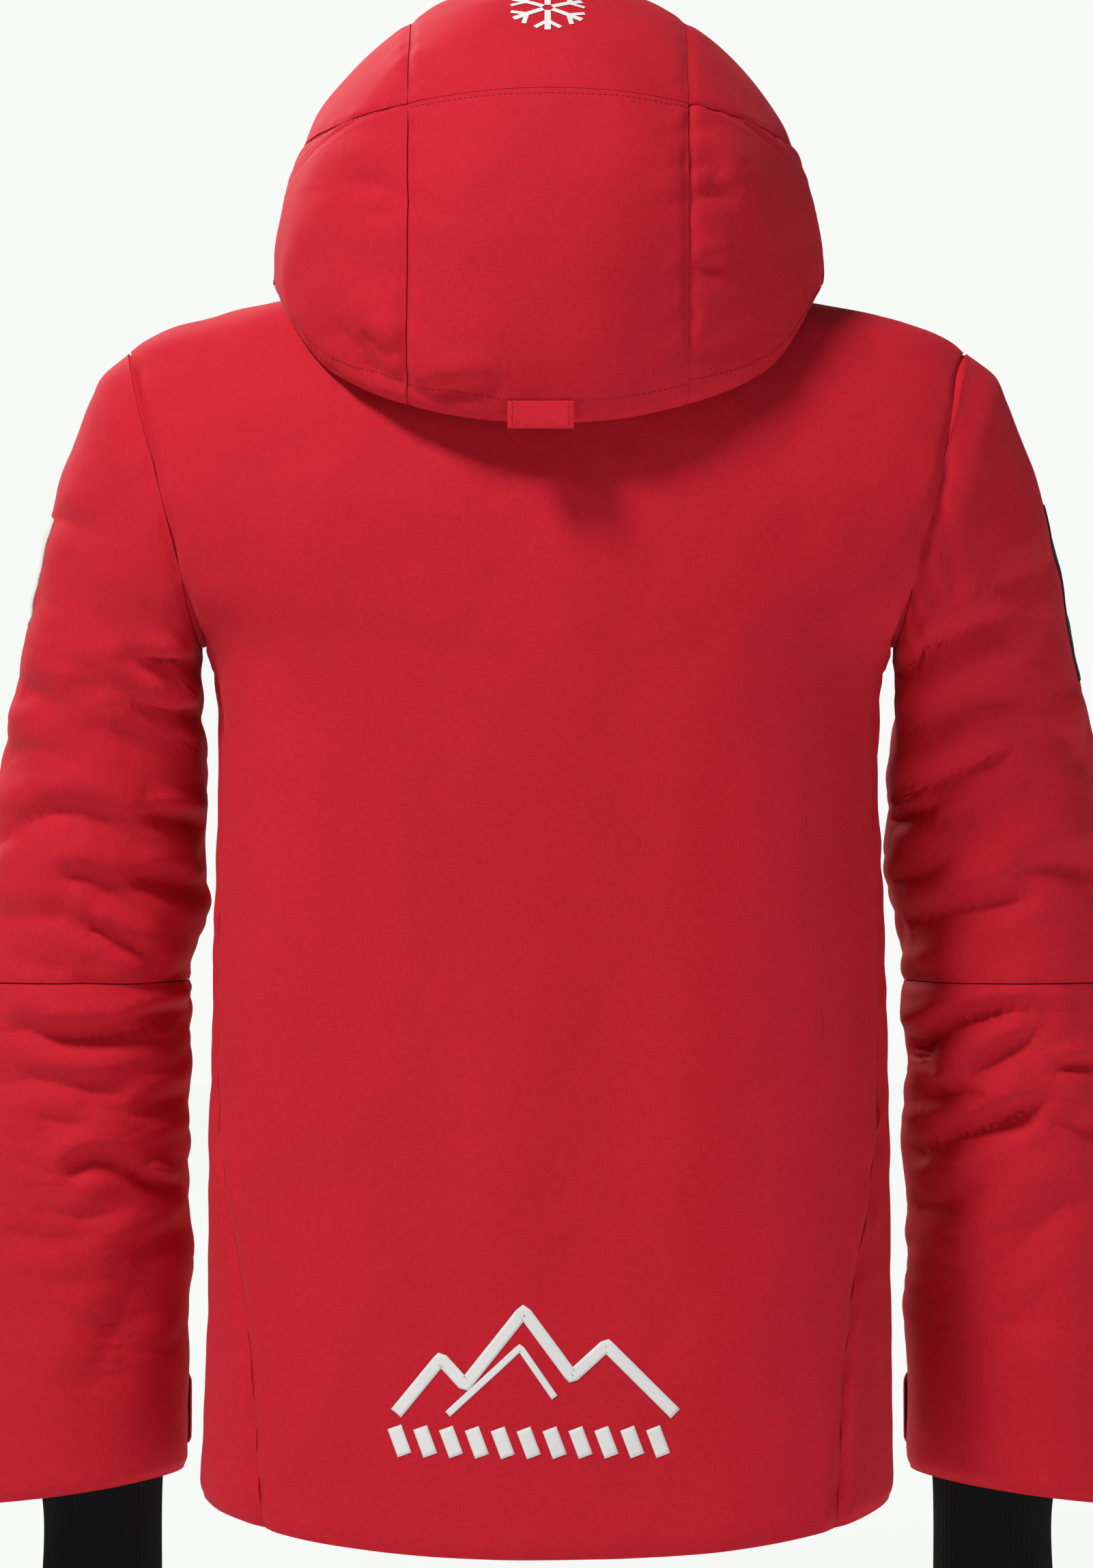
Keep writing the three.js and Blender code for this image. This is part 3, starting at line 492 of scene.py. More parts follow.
def crease(x, z, fold):
    """One fold in padded cloth, from (x0, z0) by way of a middle point to (x1, z1): a sharp valley along a
    bent line, steep above and slow below, with a swelling over it. Lengths are in millimetres."""
    x0, z0, xm, zm, x1, z1, width, depth = np.array(fold) / 1000
    k = np.linspace(0, 1, 15)
    px = (1 - k) ** 2 * x0 + 2 * k * (1 - k) * (2 * xm - (x0 + x1) / 2) + k**2 * x1
    pz = (1 - k) ** 2 * z0 + 2 * k * (1 - k) * (2 * zm - (z0 + z1) / 2) + k**2 * z1
    gap = np.hypot(x[..., None] - px, z[..., None] - pz)
    near = gap.argmin(-1)
    d, spot = gap.min(-1), k[near]
    above = z > pz[near]
    ends = smooth(-.12, .22, spot) * smooth(-.12, .3, 1 - spot)
    valley = np.exp(-(np.sqrt(d**2 + .0011**2) - .0011) / np.where(above, width * .75, width * 1.5))
    swell = np.exp(-((d - 2 * width) / (1.3 * width)) ** 2) * np.where(above, .6, .35)
    return depth * ends * (swell - valley)


# The folds over each sleeve's back, in millimetres: x0, z0, middle x, z, x1, z1, width, depth.
FOLDS = {
    "left": [
        (206, -233, 224, -236, 246, -231, 5, 6.5), (206, -262, 224, -266, 250, -259, 6, 6.5),
        (206, -249, 250, -250, 290, -245, 9, 2.2), (208, -283, 236, -279, 262, -274, 10, 3.0),
        (206, -333, 222, -330, 243, -325, 6, 6.5), (206, -374, 226, -368, 252, -363, 6, 6.0),
        (334, -341, 288, -323, 248, -339, 8, 4.0), (294, -364, 274, -364, 252, -378, 6, 3.5),
        (336, -389, 304, -386, 270, -390, 7, 2.2), (276, -392, 262, -399, 240, -411, 5, 5.0),
        (312, -455, 272, -459, 226, -450, 7, 6.5), (206, -445, 228, -446, 250, -451, 5, 5.0),
        (322, -480, 288, -487, 252, -495, 9, 2.8), (308, -508, 292, -511, 276, -511, 7, 2.5),
        (206, -497, 228, -499, 250, -507, 7, 4.0), (290, -547, 273, -533, 248, -541, 6, 4.5),
        (250, -541, 238, -549, 222, -553, 4, 5.0), (310, -560, 284, -567, 252, -563, 8, 2.6),
        (330, -575, 304, -581, 272, -579, 7, 2.2), (212, -579, 234, -583, 254, -593, 8, 2.6),
        (238, -596, 262, -640, 282, -698, 12, 2.0), (300, -146, 282, -152, 262, -160, 8, 1.8),
        (330, -290, 306, -286, 280, -296, 9, 2.4), (318, -250, 304, -254, 288, -262, 8, 1.8)],
    "right": [
        (206, -241, 240, -222, 276, -206, 9, 6.0), (206, -319, 246, -300, 284, -282, 9, 6.0),
        (206, -394, 252, -381, 300, -372, 9, 5.0), (206, -330, 218, -326, 234, -322, 5, 5.0),
        (214, -276, 252, -262, 300, -250, 12, 2.2), (216, -334, 262, -322, 306, -311, 11, 2.4),
        (330, -360, 300, -356, 268, -366, 9, 3.5), (206, -366, 224, -362, 246, -352, 7, 3.5),
        (228, -476, 242, -452, 298, -442, 6, 6.0), (252, -486, 272, -470, 300, -452, 6, 4.5),
        (230, -491, 246, -494, 266, -494, 5, 4.0), (228, -524, 264, -514, 302, -495, 7, 7.0),
        (330, -478, 318, -476, 304, -480, 4, 4.0), (206, -455, 218, -460, 228, -470, 6, 5.0),
        (266, -598, 292, -578, 318, -552, 12, 2.2), (264, -642, 286, -626, 308, -606, 12, 2.0),
        (214, -566, 240, -560, 268, -548, 9, 3.0), (206, -520, 220, -528, 232, -536, 7, 4.0),
        (300, -270, 318, -286, 330, -306, 9, 2.4), (336, -520, 316, -512, 300, -512, 8, 2.4),
        (212, -430, 220, -424, 236, -421, 5, 2.5), (290, -180, 268, -190, 250, -204, 9, 1.8)]}


def crumple(grid, a, s, folds, seed):
    """How a sleeve's padding stands: the folds over its back, their mirror image across it in front, and
    soft creases between, which lie round the arm and grow towards the elbow and the crook."""
    back, ahead = smooth(-.12, .4, np.sin(a)), smooth(-.12, .4, -np.sin(a))
    x, z = grid[..., 0], grid[..., 2]
    turned = .57 - x
    lift = 1.4 * sum(back * crease(x, z, fold) + .8 * ahead * crease(turned, z + .012, fold) for fold in folds)
    inner = smooth(.2, -.8, np.cos(a))
    bent = np.exp(-((s - 1) / .42) ** 2)
    soft = np.abs(ripple(grid * (.45, .45, 1), .062, seed)) - .45
    fine = np.abs(ripple(grid * (.4, .4, 1), .028, seed + 1)) - .45
    lift += soft * (.0011 + .0016 * bent + .0012 * inner) + fine * (.0003 + .0007 * bent + .0005 * inner)
    slim = .0035 * np.exp(-((s - .22) / .11) ** 2) * smooth(.1, .9, np.cos(a)) * smooth(.04, .16, s)
    return lift - slim + .0010 * ripple(grid * (1, 1, .5), .11, seed + 2)


AROUND, SLEEVE_ROWS = 144, 190
SLEEVE_PARTS = (("upper", 0, .999), ("lower", 1.001, 2))


def round_grid(s0, s1, d=0.0, rooted=False):
    """A sleeve's grid from station s0 to s1, d inside; a rooted one starts on the armhole's outline."""
    s = np.linspace(s0, s1, SLEEVE_ROWS)[:, None]
    a = np.arange(AROUND) * 2 * np.pi / AROUND
    grid = sleeve(s, a, d, armhole_reach(a) if rooted else None)
    if rooted:
        grid[0] += arm_normal * SEAM / 2
    return grid, a + 0 * s, s + 0 * a


def turn_with_arm(made):
    """An upper sleeve's placement is baked into its mesh."""
    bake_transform(made)


def bend_at_elbow(made, at):
    """A lower sleeve's placement is baked into its mesh."""
    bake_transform(made)


sleeve_lifts = {}
for seed, (name, side) in enumerate(SIDES):
    flip = np.array([side, 1, 1])
    for part, s0, s1 in SLEEVE_PARTS:
        grid, a, s = round_grid(s0, s1, 0, part == "upper")
        n = outward(grid, grid.mean(1, keepdims=True), True)
        low = along(grid, 0)
        up = low[-1:] - low
        travel = a * .068
        lift = crumple(grid, a, s, FOLDS[name], 20 + 7 * seed)
        if part == "upper":
            # Over the shoulder's tip the seam lies smooth; behind and in front it is drawn in.
            drawn = 1 - smooth(.35, .85, np.cos(a))
            gathers = puckers(low, travel, 31 + seed, .0016, .02, .022) * smooth(0, .006, low)
            lift *= smooth(0, .03, low)
            lift += pulled(low, .0002 + .0022 * drawn, .0055) + pulled(up, .0013, .003)
            lift += gathers * (.2 + .8 * drawn)
            lift += puckers(up, travel, 33, .0005, .01, .02) * smooth(0, .003, up)
        else:
            lift *= .3 + .7 * smooth(.04, .1, up)
            lift += pulled(low, .0013, .003) + pulled(up, .0022, .004)
            lift += puckers(low, travel, 33, .0005, .01, .02) * smooth(0, .003, low)
        sleeve_lifts[name, part] = np.minimum(lift, 0)
        inner = round_grid(s0, s1, SLEEVE_WALL, part == "upper")[0] + n * sleeve_lifts[name, part][..., None]
        made = piece(f"{name}_{part}_sleeve_shell", (grid + n * lift[..., None]) * flip, inner * flip, True)
        dressed(made, red, (f"{name}_{part}_sleeve",))
        if part == "upper":
            turn_with_arm(made)
        else:
            bend_at_elbow(made, grid[0].mean(0) * flip)


# ---- Hood ----
# Six panels: a centre strip over the crown and down the back, a panel over each ear and a gore on each side
# of the crown, all quilted, with a topstitched seam across the back of the crown and a gathered lower edge.
EAR = np.array([0, .003, -.009])
HOOD_HALF, HOOD_STRIP, HOOD_WALL = .165, .082, .006
HOOD_SEAM, HOOD_SAG = .103, .025
LIP, CHIN, BROW, JAW = -34, 193, 140, np.radians(52)
hood_radius = through([[-30, .164], [0, .157], [43, .17], [90, .182], [140, .172], [195, .15]])


def hood(l, turn, d=0.0):
    """The hood's face, d inside: arches on a line between the ears. l goes round an arch and turn, in
    degrees, carries the arch from the back of the neck over the crown to the chin."""
    l, turn = np.broadcast_arrays(np.asarray(l, float), np.asarray(turn, float))
    near = smooth(np.radians(50), np.radians(90), np.abs(l))
    b = np.where(turn < 20, 20 + (turn - 20) * (50 - 22 * near) / 50,
                 np.where(turn > 160, 160 + (turn - 160) * (33 - 18 * near) / 33, turn))
    r = (hood_radius(b)[..., 0] - d) * np.cos(l)
    return EAR + np.stack([(HOOD_HALF - d) * np.sin(l), r * np.cos(np.radians(b)),
                           r * np.sin(np.radians(b))], -1)


strip = np.arcsin(HOOD_STRIP / HOOD_HALF)
hood_gap = SEAM / 2 / .157
turn_gap = np.degrees(hood_gap)


def turn_of_seam(l, start, end):
    """The turn, on the way from start to end, at which the arch at l reaches the crown seam's height."""
    def under(m):
        return hood_radius(m)[..., 0] * np.cos(l) * np.sin(np.radians(m)) <= HOOD_SEAM - HOOD_SAG * np.sin(l)**2
    return halved(under, start + 0 * np.asarray(l, float), end + 0 * np.asarray(l, float), 40)


seam_back, seam_front = float(turn_of_seam(strip, 0., 90.)), float(turn_of_seam(strip, 180., 90.))


def side_edge(b):
    """The ear panel's inner edge: beside the strip, under the crown seam, then down the face opening."""
    b = np.asarray(b, float)
    rise = np.maximum(hood_radius(b)[..., 0] * np.sin(np.radians(b)), HOOD_SEAM)
    c = (rise - np.sqrt(rise**2 - 4 * HOOD_SAG * (HOOD_SEAM - HOOD_SAG))) / (2 * HOOD_SAG)
    crown = np.maximum(strip, np.arccos(np.clip(c, 0, 1)))
    jaw = strip + (JAW - strip) * smooth(seam_front, CHIN, b)
    return np.where(b < seam_back, strip, np.where(b > seam_front, jaw, crown))


# The puckers over the hood's back, in millimetres: x0, z0, middle x, z, x1, z1, width, depth.
HOOD_PUCKERS = [
    (76, 21, 98, 40, 122, 41, 8, 2.2), (84, 24, 96, 22, 108, 27, 7, 1.8), (-84, 49, -94, 50, -104, 43, 6, 2.6),
    (-84, 28, -94, 34, -112, 30, 7, 2.2), (-84, -12, -92, -10, -104, -12, 6, 2.0),
    (82, -74, 94, -72, 112, -60, 6, 3.0), (80, -82, 60, -84, 30, -88, 7, 2.6),
    (84, -60, 96, -56, 108, -44, 6, 2.4),
    (96, -66, 112, -52, 128, -36, 9, 2.0), (70, -88, 48, -80, 24, -82, 6, 1.8),
    (-84, -58, -96, -56, -112, -42, 8, 1.6), (-60, -88, -80, -80, -100, -66, 9, 1.4)]


def swell(grid, left, right, low, up, seams):
    """How the hood's padding stands: a soft undulation, puckers over its back, and dips with short gathers
    at the edges that are sewn, as deep as each edge's share in seams says."""
    lift = .0011 * ripple(grid, .11, 51) + .0006 * ripple(grid, .05, 52)
    behind = smooth(-.02, .05, grid[..., 1])
    lift = lift + 1.5 * sum(behind * crease(grid[..., 0], grid[..., 2], fold) for fold in HOOD_PUCKERS)
    for distance, travel, held in ((left, low, seams[0]), (right, low, seams[1]), (low, left, seams[2]),
                                   (up, left, seams[3])):
        if held:
            lift = lift * smooth(-.012, .02, distance) + pulled(distance, .0022 * held, .004)
            lift += puckers(distance, travel, 53, .0013 * held, .014, .019) * smooth(-.001, .004, distance)
    return lift


def follow_hood(made):
    """The hood's cheeks are sewn to the neck in front. A piece's placement is baked into its mesh."""
    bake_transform(made)


def hood_panel(name, l, turn, seams, node, side=1):
    """One padded panel over the arches l and turns; seams is how deep each of its edges is sewn."""
    grid = hood(l, turn)
    n = grid - EAR
    n /= np.linalg.norm(n, axis=-1, keepdims=True)
    lift = swell(grid * (side, 1, 1), *edges(grid), seams)
    flip = (side, 1, 1)
    outer = (grid + n * lift[..., None]) * flip
    inner = (hood(l, turn, HOOD_WALL) + n * np.minimum(lift, 0)[..., None]) * flip
    cheek = "side" in name
    made = piece(name, outer, inner, poles=True)
    dressed(made, red, (node,), None if cheek else "hood")
    if cheek:
        follow_hood(made)
    return outer


across = np.linspace(-strip + hood_gap, strip - hood_gap, 111)
crown_turn = turn_of_seam(across, 0 * across, 0 * across + 90)
v = np.linspace(0, 1, 111)[:, None]
centre_back = hood_panel("hood_centre_back_shell", across, LIP + (crown_turn - turn_gap - LIP) * v,
                         (.8, 1.2, .8, .25), "hood_centre_back_panel")
v = np.linspace(0, 1, 131)[:, None]
centre_crown = hood_panel("hood_centre_crown_shell", across, crown_turn + turn_gap
                          + (BROW - crown_turn - turn_gap) * v, (.5, .7, .25, .8),
                          "hood_centre_crown_panel")
turns = np.concatenate([np.linspace(LIP, seam_back, 75)[:-1], np.linspace(seam_back, seam_front, 91)[:-1],
                        np.linspace(seam_front, CHIN, 46)])[:, None]
hood_sides = {}
for name, side in SIDES:
    start = side_edge(turns) + hood_gap
    hood_sides[name] = hood_panel(
        f"hood_{name}_side_shell", start + (np.pi / 2 - start) * np.linspace(0, 1, 101), turns,
        (.8 if side > 0 else 1.2, 0, .8, .8), f"hood_{name}_side_panel", side)
    inner = turns[(turns >= seam_back) & (turns <= seam_front)][:, None]
    edge = np.maximum(side_edge(inner) - hood_gap, strip + hood_gap)
    hood_panel(f"hood_{name}_crown_shell", strip + hood_gap + (edge - strip - hood_gap) * np.linspace(0, 1, 45),
               inner, (.5, .25, 0, 0), f"hood_{name}_crown_panel", side)


# ---- Linings ----
# A slippery dark taffeta, cut to the panels' outlines and sewn in at the seams, hangs inside the padding of
# the body, sleeves and hood.
taffeta = woven("lining taffeta", (.045, .04, .046, 1), (.026, .023, .028, 1), pitch=.0006, roughness=.5,
                sheen=.05, relief=.00005)
LINING_DEPTH, LINING_THICK = .0093, .0012


def cut_of(grid):
    """A sheet's cut: its width and length along the grid, and its area."""
    width, length = float(along(grid, 1)[:, -1].max()), float(along(grid, 0)[-1].max())
    d1, d2 = grid[1:, 1:] - grid[:-1, :-1], grid[1:, :-1] - grid[:-1, 1:]
    area = float(np.linalg.norm(np.cross(d1, d2), axis=-1).sum() / 2)
    return (width, length), min(max(area, .31 * width * length), width * length)


def sheet_piece(name, outer, inner, material, slot, nodes, held, rests_on, body_name=None, around=False,
                poles=False):
    """A sheet of cloth with its finish and what it replaces; its cut size is worked out and not kept."""
    made = dressed(piece(name, outer, inner, around, poles), material, nodes, body_name)
    flat, area = cut_of(np.concatenate([outer, outer[:, :1]], 1) if around else outer)
    return made


def body_lining(name, edge_a, edge_b, side, columns, count, rows=ROWS):
    """The lining of one body panel, a little slack between its seams."""
    grid, t = body_grid(edge_a, edge_b, side, columns, rows, count)
    n = outward(grid, BACK_AXIS)
    tuck = lining_tuck(t)[..., None]
    slack = np.abs(ripple(grid, .07, 61))[..., None] * .0006
    depth = LINING_DEPTH * tuck + slack
    sheet_piece(f"{name}_lining_sheet", grid - n * depth, grid - n * (depth + LINING_THICK * tuck), taffeta,
                "lining_fabric", (f"{name}_lining",), "hung", [f"{name}_shell"], "torso")


tucked = .0008 / HALF_WIDTH
body_lining("back", lambda t: tucked - back_edge(t), lambda t: back_edge(t) - tucked, 1, 61, 106)
for name, side in SIDES:
    body_lining(f"{name}_front", lambda t: front_edge(t) + tucked, lambda t: zip_angle(t, .016), side, 31, 106)
    body_lining(f"{name}_side", lambda t: back_edge(t) + 2 * seam_angle + tucked,
                lambda t: front_edge(t) - 2 * seam_angle - tucked, side, 15, 71, SIDE_ROWS)
    flip = np.array([side, 1, 1])
    for part, s0, s1 in SLEEVE_PARTS:
        last = SLEEVE_ROWS if part == "upper" else int(SLEEVE_ROWS * .85)
        grids = []
        for depth in (SLEEVE_WALL + .0006, SLEEVE_WALL + .0018):
            grid, _, _ = round_grid(s0, s1, depth, part == "upper")
            n = outward(grid, grid.mean(1, keepdims=True), True)
            grids.append((grid + n * sleeve_lifts[name, part][..., None])[:last:2, ::2] * flip)
        made = sheet_piece(f"{name}_{part}_sleeve_lining_sheet", *grids, taffeta, "lining_fabric",
                           (f"{name}_{part}_sleeve_lining",), "hung", [f"{name}_{part}_sleeve_shell"],
                           around=True)
        if part == "upper":
            turn_with_arm(made)
        else:
            bend_at_elbow(made, grids[0][0].mean(0))


def opening_turn(l):
    """The turn at which the hood's lining ends, at the face opening."""
    end = halved(lambda m: side_edge(m) < np.abs(l), np.full(l.shape, seam_front),
                 np.full(l.shape, float(CHIN)), 30)
    return np.where(np.abs(l) <= strip, BROW, np.maximum(end, BROW))


l = np.linspace(-np.pi / 2, np.pi / 2, 81)
turn = LIP + (opening_turn(l) - 1.6 - LIP) * np.linspace(0, 1, 81)[:, None]
hood_lining_depth = HOOD_WALL + .013 * HOOD_HALF
follow_hood(sheet_piece("hood_lining_sheet", hood(l, turn, hood_lining_depth),
                        hood(l, turn, hood_lining_depth + .0014), taffeta, "lining_fabric", ("hood_lining",),
                        "hung", ["hood_centre_back_shell"], poles=True))

# ---- Hood edges ----
# The brim is a short stiffened peak sewn to the brow. The neck panel closes the hood from its lower edge in
# to the neck seam. A flat loop of shell cloth, sewn over the edge at the back, takes the size strap.
l = np.linspace(-1, 1, 81) * (strip - hood_gap)
v = np.linspace(0, 1, 15)[:, None]


def brim(l, v, d):
    """The brow's own arch carried forward and a little down, with a rounded front edge."""
    p = hood(l, BROW, d) + 0 * v[..., None]
    round_off = .0016 * v**6 * (1 if d == 0 else -1)
    p[..., 1] -= SEAM + .014 * v * np.cos(l)
    p[..., 2] -= .014 * .25 * v + SEAM + round_off
    return p


peak = dressed(piece("hood_brim_shell", brim(l, v, 0), brim(l, v, .004)), red, ("hood_brim",))
follow_hood(peak)

a = np.linspace(-1, 1, 91) * np.radians(84)
v = np.linspace(0, 1, 21)[:, None, None]


def neck_panel(d):
    """Straight lines from the neck seam to the hood's lip, raised in a hump."""
    seat = body(1, a * .98) * (1.03, 1.05, 1) + (0, 0, .0035)
    lip = hood(a, LIP + 1, hood_lining_depth + .0015 + .0024)
    p = seat + (lip - seat) * v
    p[..., 2] += (.029 * v * (1 - v))[..., 0] - d
    return p


closing = sheet_piece("hood_neck_sheet", neck_panel(0), neck_panel(.0014), red, "red_fabric",
                      ("hood_neck_panel",), "stretched", ["back_shell", "hood_lining_sheet"])
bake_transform(closing)

TAB_HALF, TAB_HEIGHT, TAB_THICK = .019, .017, .0024
tab_top = hood(0, LIP + 4, -.0012)
x, z = np.meshgrid(np.linspace(-1, 1, 61), np.linspace(-1, 1, 33))
edge = np.maximum(np.abs(x) ** 14, np.abs(z) ** 8)
thick = TAB_THICK / 2 * (1 - .55 * edge) - .00025 * np.exp(-((np.abs(x) - .86) / .03) ** 2)
turned = np.radians(-LIP * .6)
tab_middle = np.array([.004, tab_top[1] + .0032, tab_top[2] - .004])


def tab_face(way):
    """One face of the loop: flat, thinner at its edges, with a groove where its ends are stitched."""
    y, up = way * thick, z * TAB_HEIGHT / 2
    return np.stack([x * TAB_HALF, y * np.cos(turned) - up * np.sin(turned),
                     y * np.sin(turned) + up * np.cos(turned)], -1) + tab_middle


dressed(piece("hood_size_loop", tab_face(1), tab_face(-1)), red, ("hood_size_tab",), "hood")

# ---- Collar ----
# A padded stand collar, faced inside with black brushed fleece, with a corded loop to hang the jacket by.
fleece = Finish("brushed fleece")
pile = fleece.noise(fleece.place(), 900, 3, .7)
tufts = fleece.noise(fleece.place(), 160, 2)
fleece = fleece.done({"Base Color": fleece.mix(pile, (.012, .012, .013, 1), (.04, .04, .043, 1)),
                      "Roughness": .95, "Specular IOR Level": .1, "Sheen Weight": .3}, pile + tufts, .0007, .8)
u, v = np.linspace(0, 1, 161), np.linspace(0, 1, 41)[:, None]
NECK_EDGE, COLLAR_HEIGHT = .0155, .07


def collar(d):
    """The neck seam raised: it leans in a little, and its front edges follow the zip."""
    a = (2 * u - 1) * zip_angle(1.0, NECK_EDGE)
    base = body(1, a)
    lean, z = 1 - .05 * v, base[..., 2] + .002 + COLLAR_HEIGHT * v
    front = smooth(.2, 1, -np.cos(a))
    y = base[..., 1] * lean * (1 - front) + (zip_line(z) - zip_line(base[..., 2]) + base[..., 1]) * front
    p = np.stack([base[..., 0] * lean, y, z], -1)
    r = np.hypot(p[..., 0], p[..., 1])
    return p * np.stack([(r - d) / r, (r - d) / r, np.ones_like(r)], -1)


base = collar(0)
left, right, low, up = edges(base)
lift = .0007 * ripple(base, .05, 71) + pulled(low, .001, .004) + pulled(up, .0012, .003)
lift += pulled(left, .001, .003) + pulled(right, .001, .003) + pulled(up - .012, .0007, .0016)
dressed(piece("collar_shell", collar(-lift), collar(.005)), red, ("collar",), "torso")
sheet_piece("collar_fleece", collar(.0055), collar(.0068), fleece, "fleece", ("collar_lining",), "stretched",
            ["collar_shell"], "torso")
webbing = woven("black webbing", (.03, .03, .032, 1), (.012, .012, .013, 1), pitch=.0008, roughness=.75,
                relief=.0002)

# ---- Front zip ----
# A two-way moulded zip on woven tapes runs from hem to collar. A narrow flap of shell cloth lies behind it
# to keep the wind out, and a die-cast slider carries a rubbery pull.
plastic = Finish("moulded plastic")
grain = plastic.noise(plastic.place(), 1400, 2)
plastic = plastic.done({"Base Color": (.014, .014, .015, 1), "Roughness": .36 + grain * .16,
                        "Specular IOR Level": .45}, grain, .00006, .5)
metal = Finish("die-cast metal")
worn = metal.noise(metal.place(), 420, 3)
metal = metal.done({"Base Color": metal.mix(worn, (.42, .43, .45, 1), (.62, .63, .65, 1)), "Metallic": 1.0,
                    "Roughness": .24 + worn * .2}, worn, .00008, .4)
tip = np.arctan(.067)
zip_top = float(body(1.0, zip_angle(1.0, .008))[2]) + COLLAR_HEIGHT - .004
zip_length = (zip_top + HEM_DROP - .006) / np.cos(tip)


def on_zip(x, depth, down):
    """Points x across, depth behind and down along the zip's own slanting line."""
    x, depth, down = np.broadcast_arrays(x, depth, down)
    return np.stack([x, zip_line(zip_top) + depth * np.cos(tip) - down * np.sin(tip),
                     zip_top - depth * np.sin(tip) - down * np.cos(tip)], -1)


BLOCK = np.array([[x, y, z] for z in (-1, 1) for x, y in ((-1, -1), (1, -1), (1, 1), (-1, 1))], float)
BLOCK_FACES = np.array([[0, 3, 2, 1], [4, 5, 6, 7], [0, 1, 5, 4], [1, 2, 6, 5], [2, 3, 7, 6], [3, 0, 4, 7]])


def many(shape, faces, centres, ways):
    """Copies of one small shape: its points times each copy's three ways, moved to its centre."""
    points = centres[:, None] + np.einsum("pk,nkj->npj", shape, ways)
    shift = np.arange(len(centres))[:, None, None] * len(shape)
    return points.reshape(-1, 3), (faces[None] + shift).reshape(-1, faces.shape[1])


TOOTH_PITCH = .0028
for name, side in SIDES:
    down = np.arange(.002 + (side < 0) * TOOTH_PITCH / 2, zip_length - .017, TOOTH_PITCH)
    tooth = BLOCK * (.0017, .0018, .00052)
    tooth[:, 0] *= np.where(tooth[:, 0] * -side > 0, 1.15, .9)
    tooth[:, 2] *= np.where(tooth[:, 0] * -side > 0, 1.3, .8)
    ways = np.tile(np.array([[1, 0, 0], [0, np.cos(tip), -np.sin(tip)], [0, np.sin(tip), np.cos(tip)]]),
                   (len(down), 1, 1))
    teeth = solid(f"{name}_zip_tooth_row", *many(tooth, BLOCK_FACES, on_zip(side * .00145, .003, down), ways))
    dressed(teeth, plastic, (f"{name}_zip_teeth",), "torso")
tape = woven("zip tape", (.035, .035, .037, 1), (.015, .015, .016, 1), pitch=.0009, roughness=.7, relief=.0002)
u, v = np.linspace(-1, 1, 13), np.linspace(0, 1, 141)[:, None]
flap_depth = .0114 + .0004 * np.sin(v * 40) * u
sheet_piece("storm_flap_sheet", on_zip(.015 * u, flap_depth, v * zip_length),
            on_zip(.015 * u, flap_depth + .0018, v * zip_length), red, "red_fabric", ("storm_flap",), "hung",
            ["left_front_shell"], "torso")


def refinish(material, *nodes):
    """CAD parts whose shape is right get their own finish."""
    for node in nodes:
        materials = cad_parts[node].data.materials
        materials.clear()
        materials.append(material)


rubber = Finish("rubbery pull")
skin = rubber.noise(rubber.place(), 600, 2)
rubber = rubber.done({"Base Color": (.02, .02, .021, 1), "Roughness": .55 + skin * .15}, skin, .0001, .5)
refinish(webbing, "hanger_loop")
refinish(tape, "left_zip_tape", "right_zip_tape")
refinish(plastic, "zip_bottom_box")
refinish(metal, "main_zip_slider", "left_pocket_slider", "right_pocket_slider")
refinish(rubber, "main_zip_pull", "left_pocket_pull", "right_pocket_pull")

# ---- Pocket zips ----
# Two lips of shell cloth, folded and topstitched, meet over a fine coil on each front.
POCKET_X, POCKET_TOP, POCKET_LENGTH = .128, -.395, .17
ring_heights = np.linspace(0, ARMPIT_T, 400)
for name, side in SIDES:
    v, u = np.linspace(0, 1, 121)[:, None], np.linspace(-1, 1, 45)
    height = POCKET_TOP - POCKET_LENGTH * (1 - v)
    t = np.interp(height, rings(ring_heights)[:, 0], ring_heights)
    grid = body(t, zip_angle(t, POCKET_X + .007 * u)) * (side, 1, 1)
    n = outward(grid, BACK_AXIS)
    lip = np.sqrt(np.clip(1 - ((np.abs(u) - .54) / .46) ** 2, 0, 1))
    ends = 1 - np.clip(np.abs(2 * v - 1), 0, 1) ** 60
    lift = .0004 + .0019 * lip * ends - .0003 * np.exp(-((np.abs(u) - .8) / .05) ** 2)
    dressed(piece(f"{name}_pocket_welt", grid + n * lift[..., None], grid - n * .0006), red,
            (f"{name}_pocket_zip",), "torso")
    rows = np.linspace(.03, .97, 110)
    t = np.interp(POCKET_TOP - POCKET_LENGTH * (1 - rows), rings(ring_heights)[:, 0], ring_heights)
    centres = body(t, zip_angle(t, POCKET_X)) * (side, 1, 1) + n[60, 22] * .0011
    across_way = np.cross(n[60, 22], (0, 0, 1.0))
    ways = np.tile(np.array([across_way * .0011, n[60, 22] * .0006, (0, 0, .00045)]), (len(rows), 1, 1))
    dressed(solid(f"{name}_pocket_coil", *many(BLOCK, BLOCK_FACES, centres, ways)), plastic,
            None, "torso")

# ---- Powder skirt ----
# An elastic taffeta band inside the waist, sewn to the lining along its top edge, hangs free below.
u, v = np.linspace(0, 1, 181), np.linspace(0, 1, 25)[:, None]


def skirt(d):
    """The body's rings drawn in, more towards the free edge, with small gathers from the elastic."""
    t = .06 + .09 * v
    gap = .0141 + .014 * (1 - v) + d
    p = body(t, (2 * u - 1) * zip_angle(t, .024))
    middle = (rings(t)[..., 2] + zip_line(p[..., 2])) / 2
    r = np.hypot(p[..., 0], p[..., 1] - middle)
    k = (r - gap - .0008 * (1 - v) * (1 + np.sin(u * 330))) / r
    return np.stack([p[..., 0] * k, middle + (p[..., 1] - middle) * k, p[..., 2]], -1)


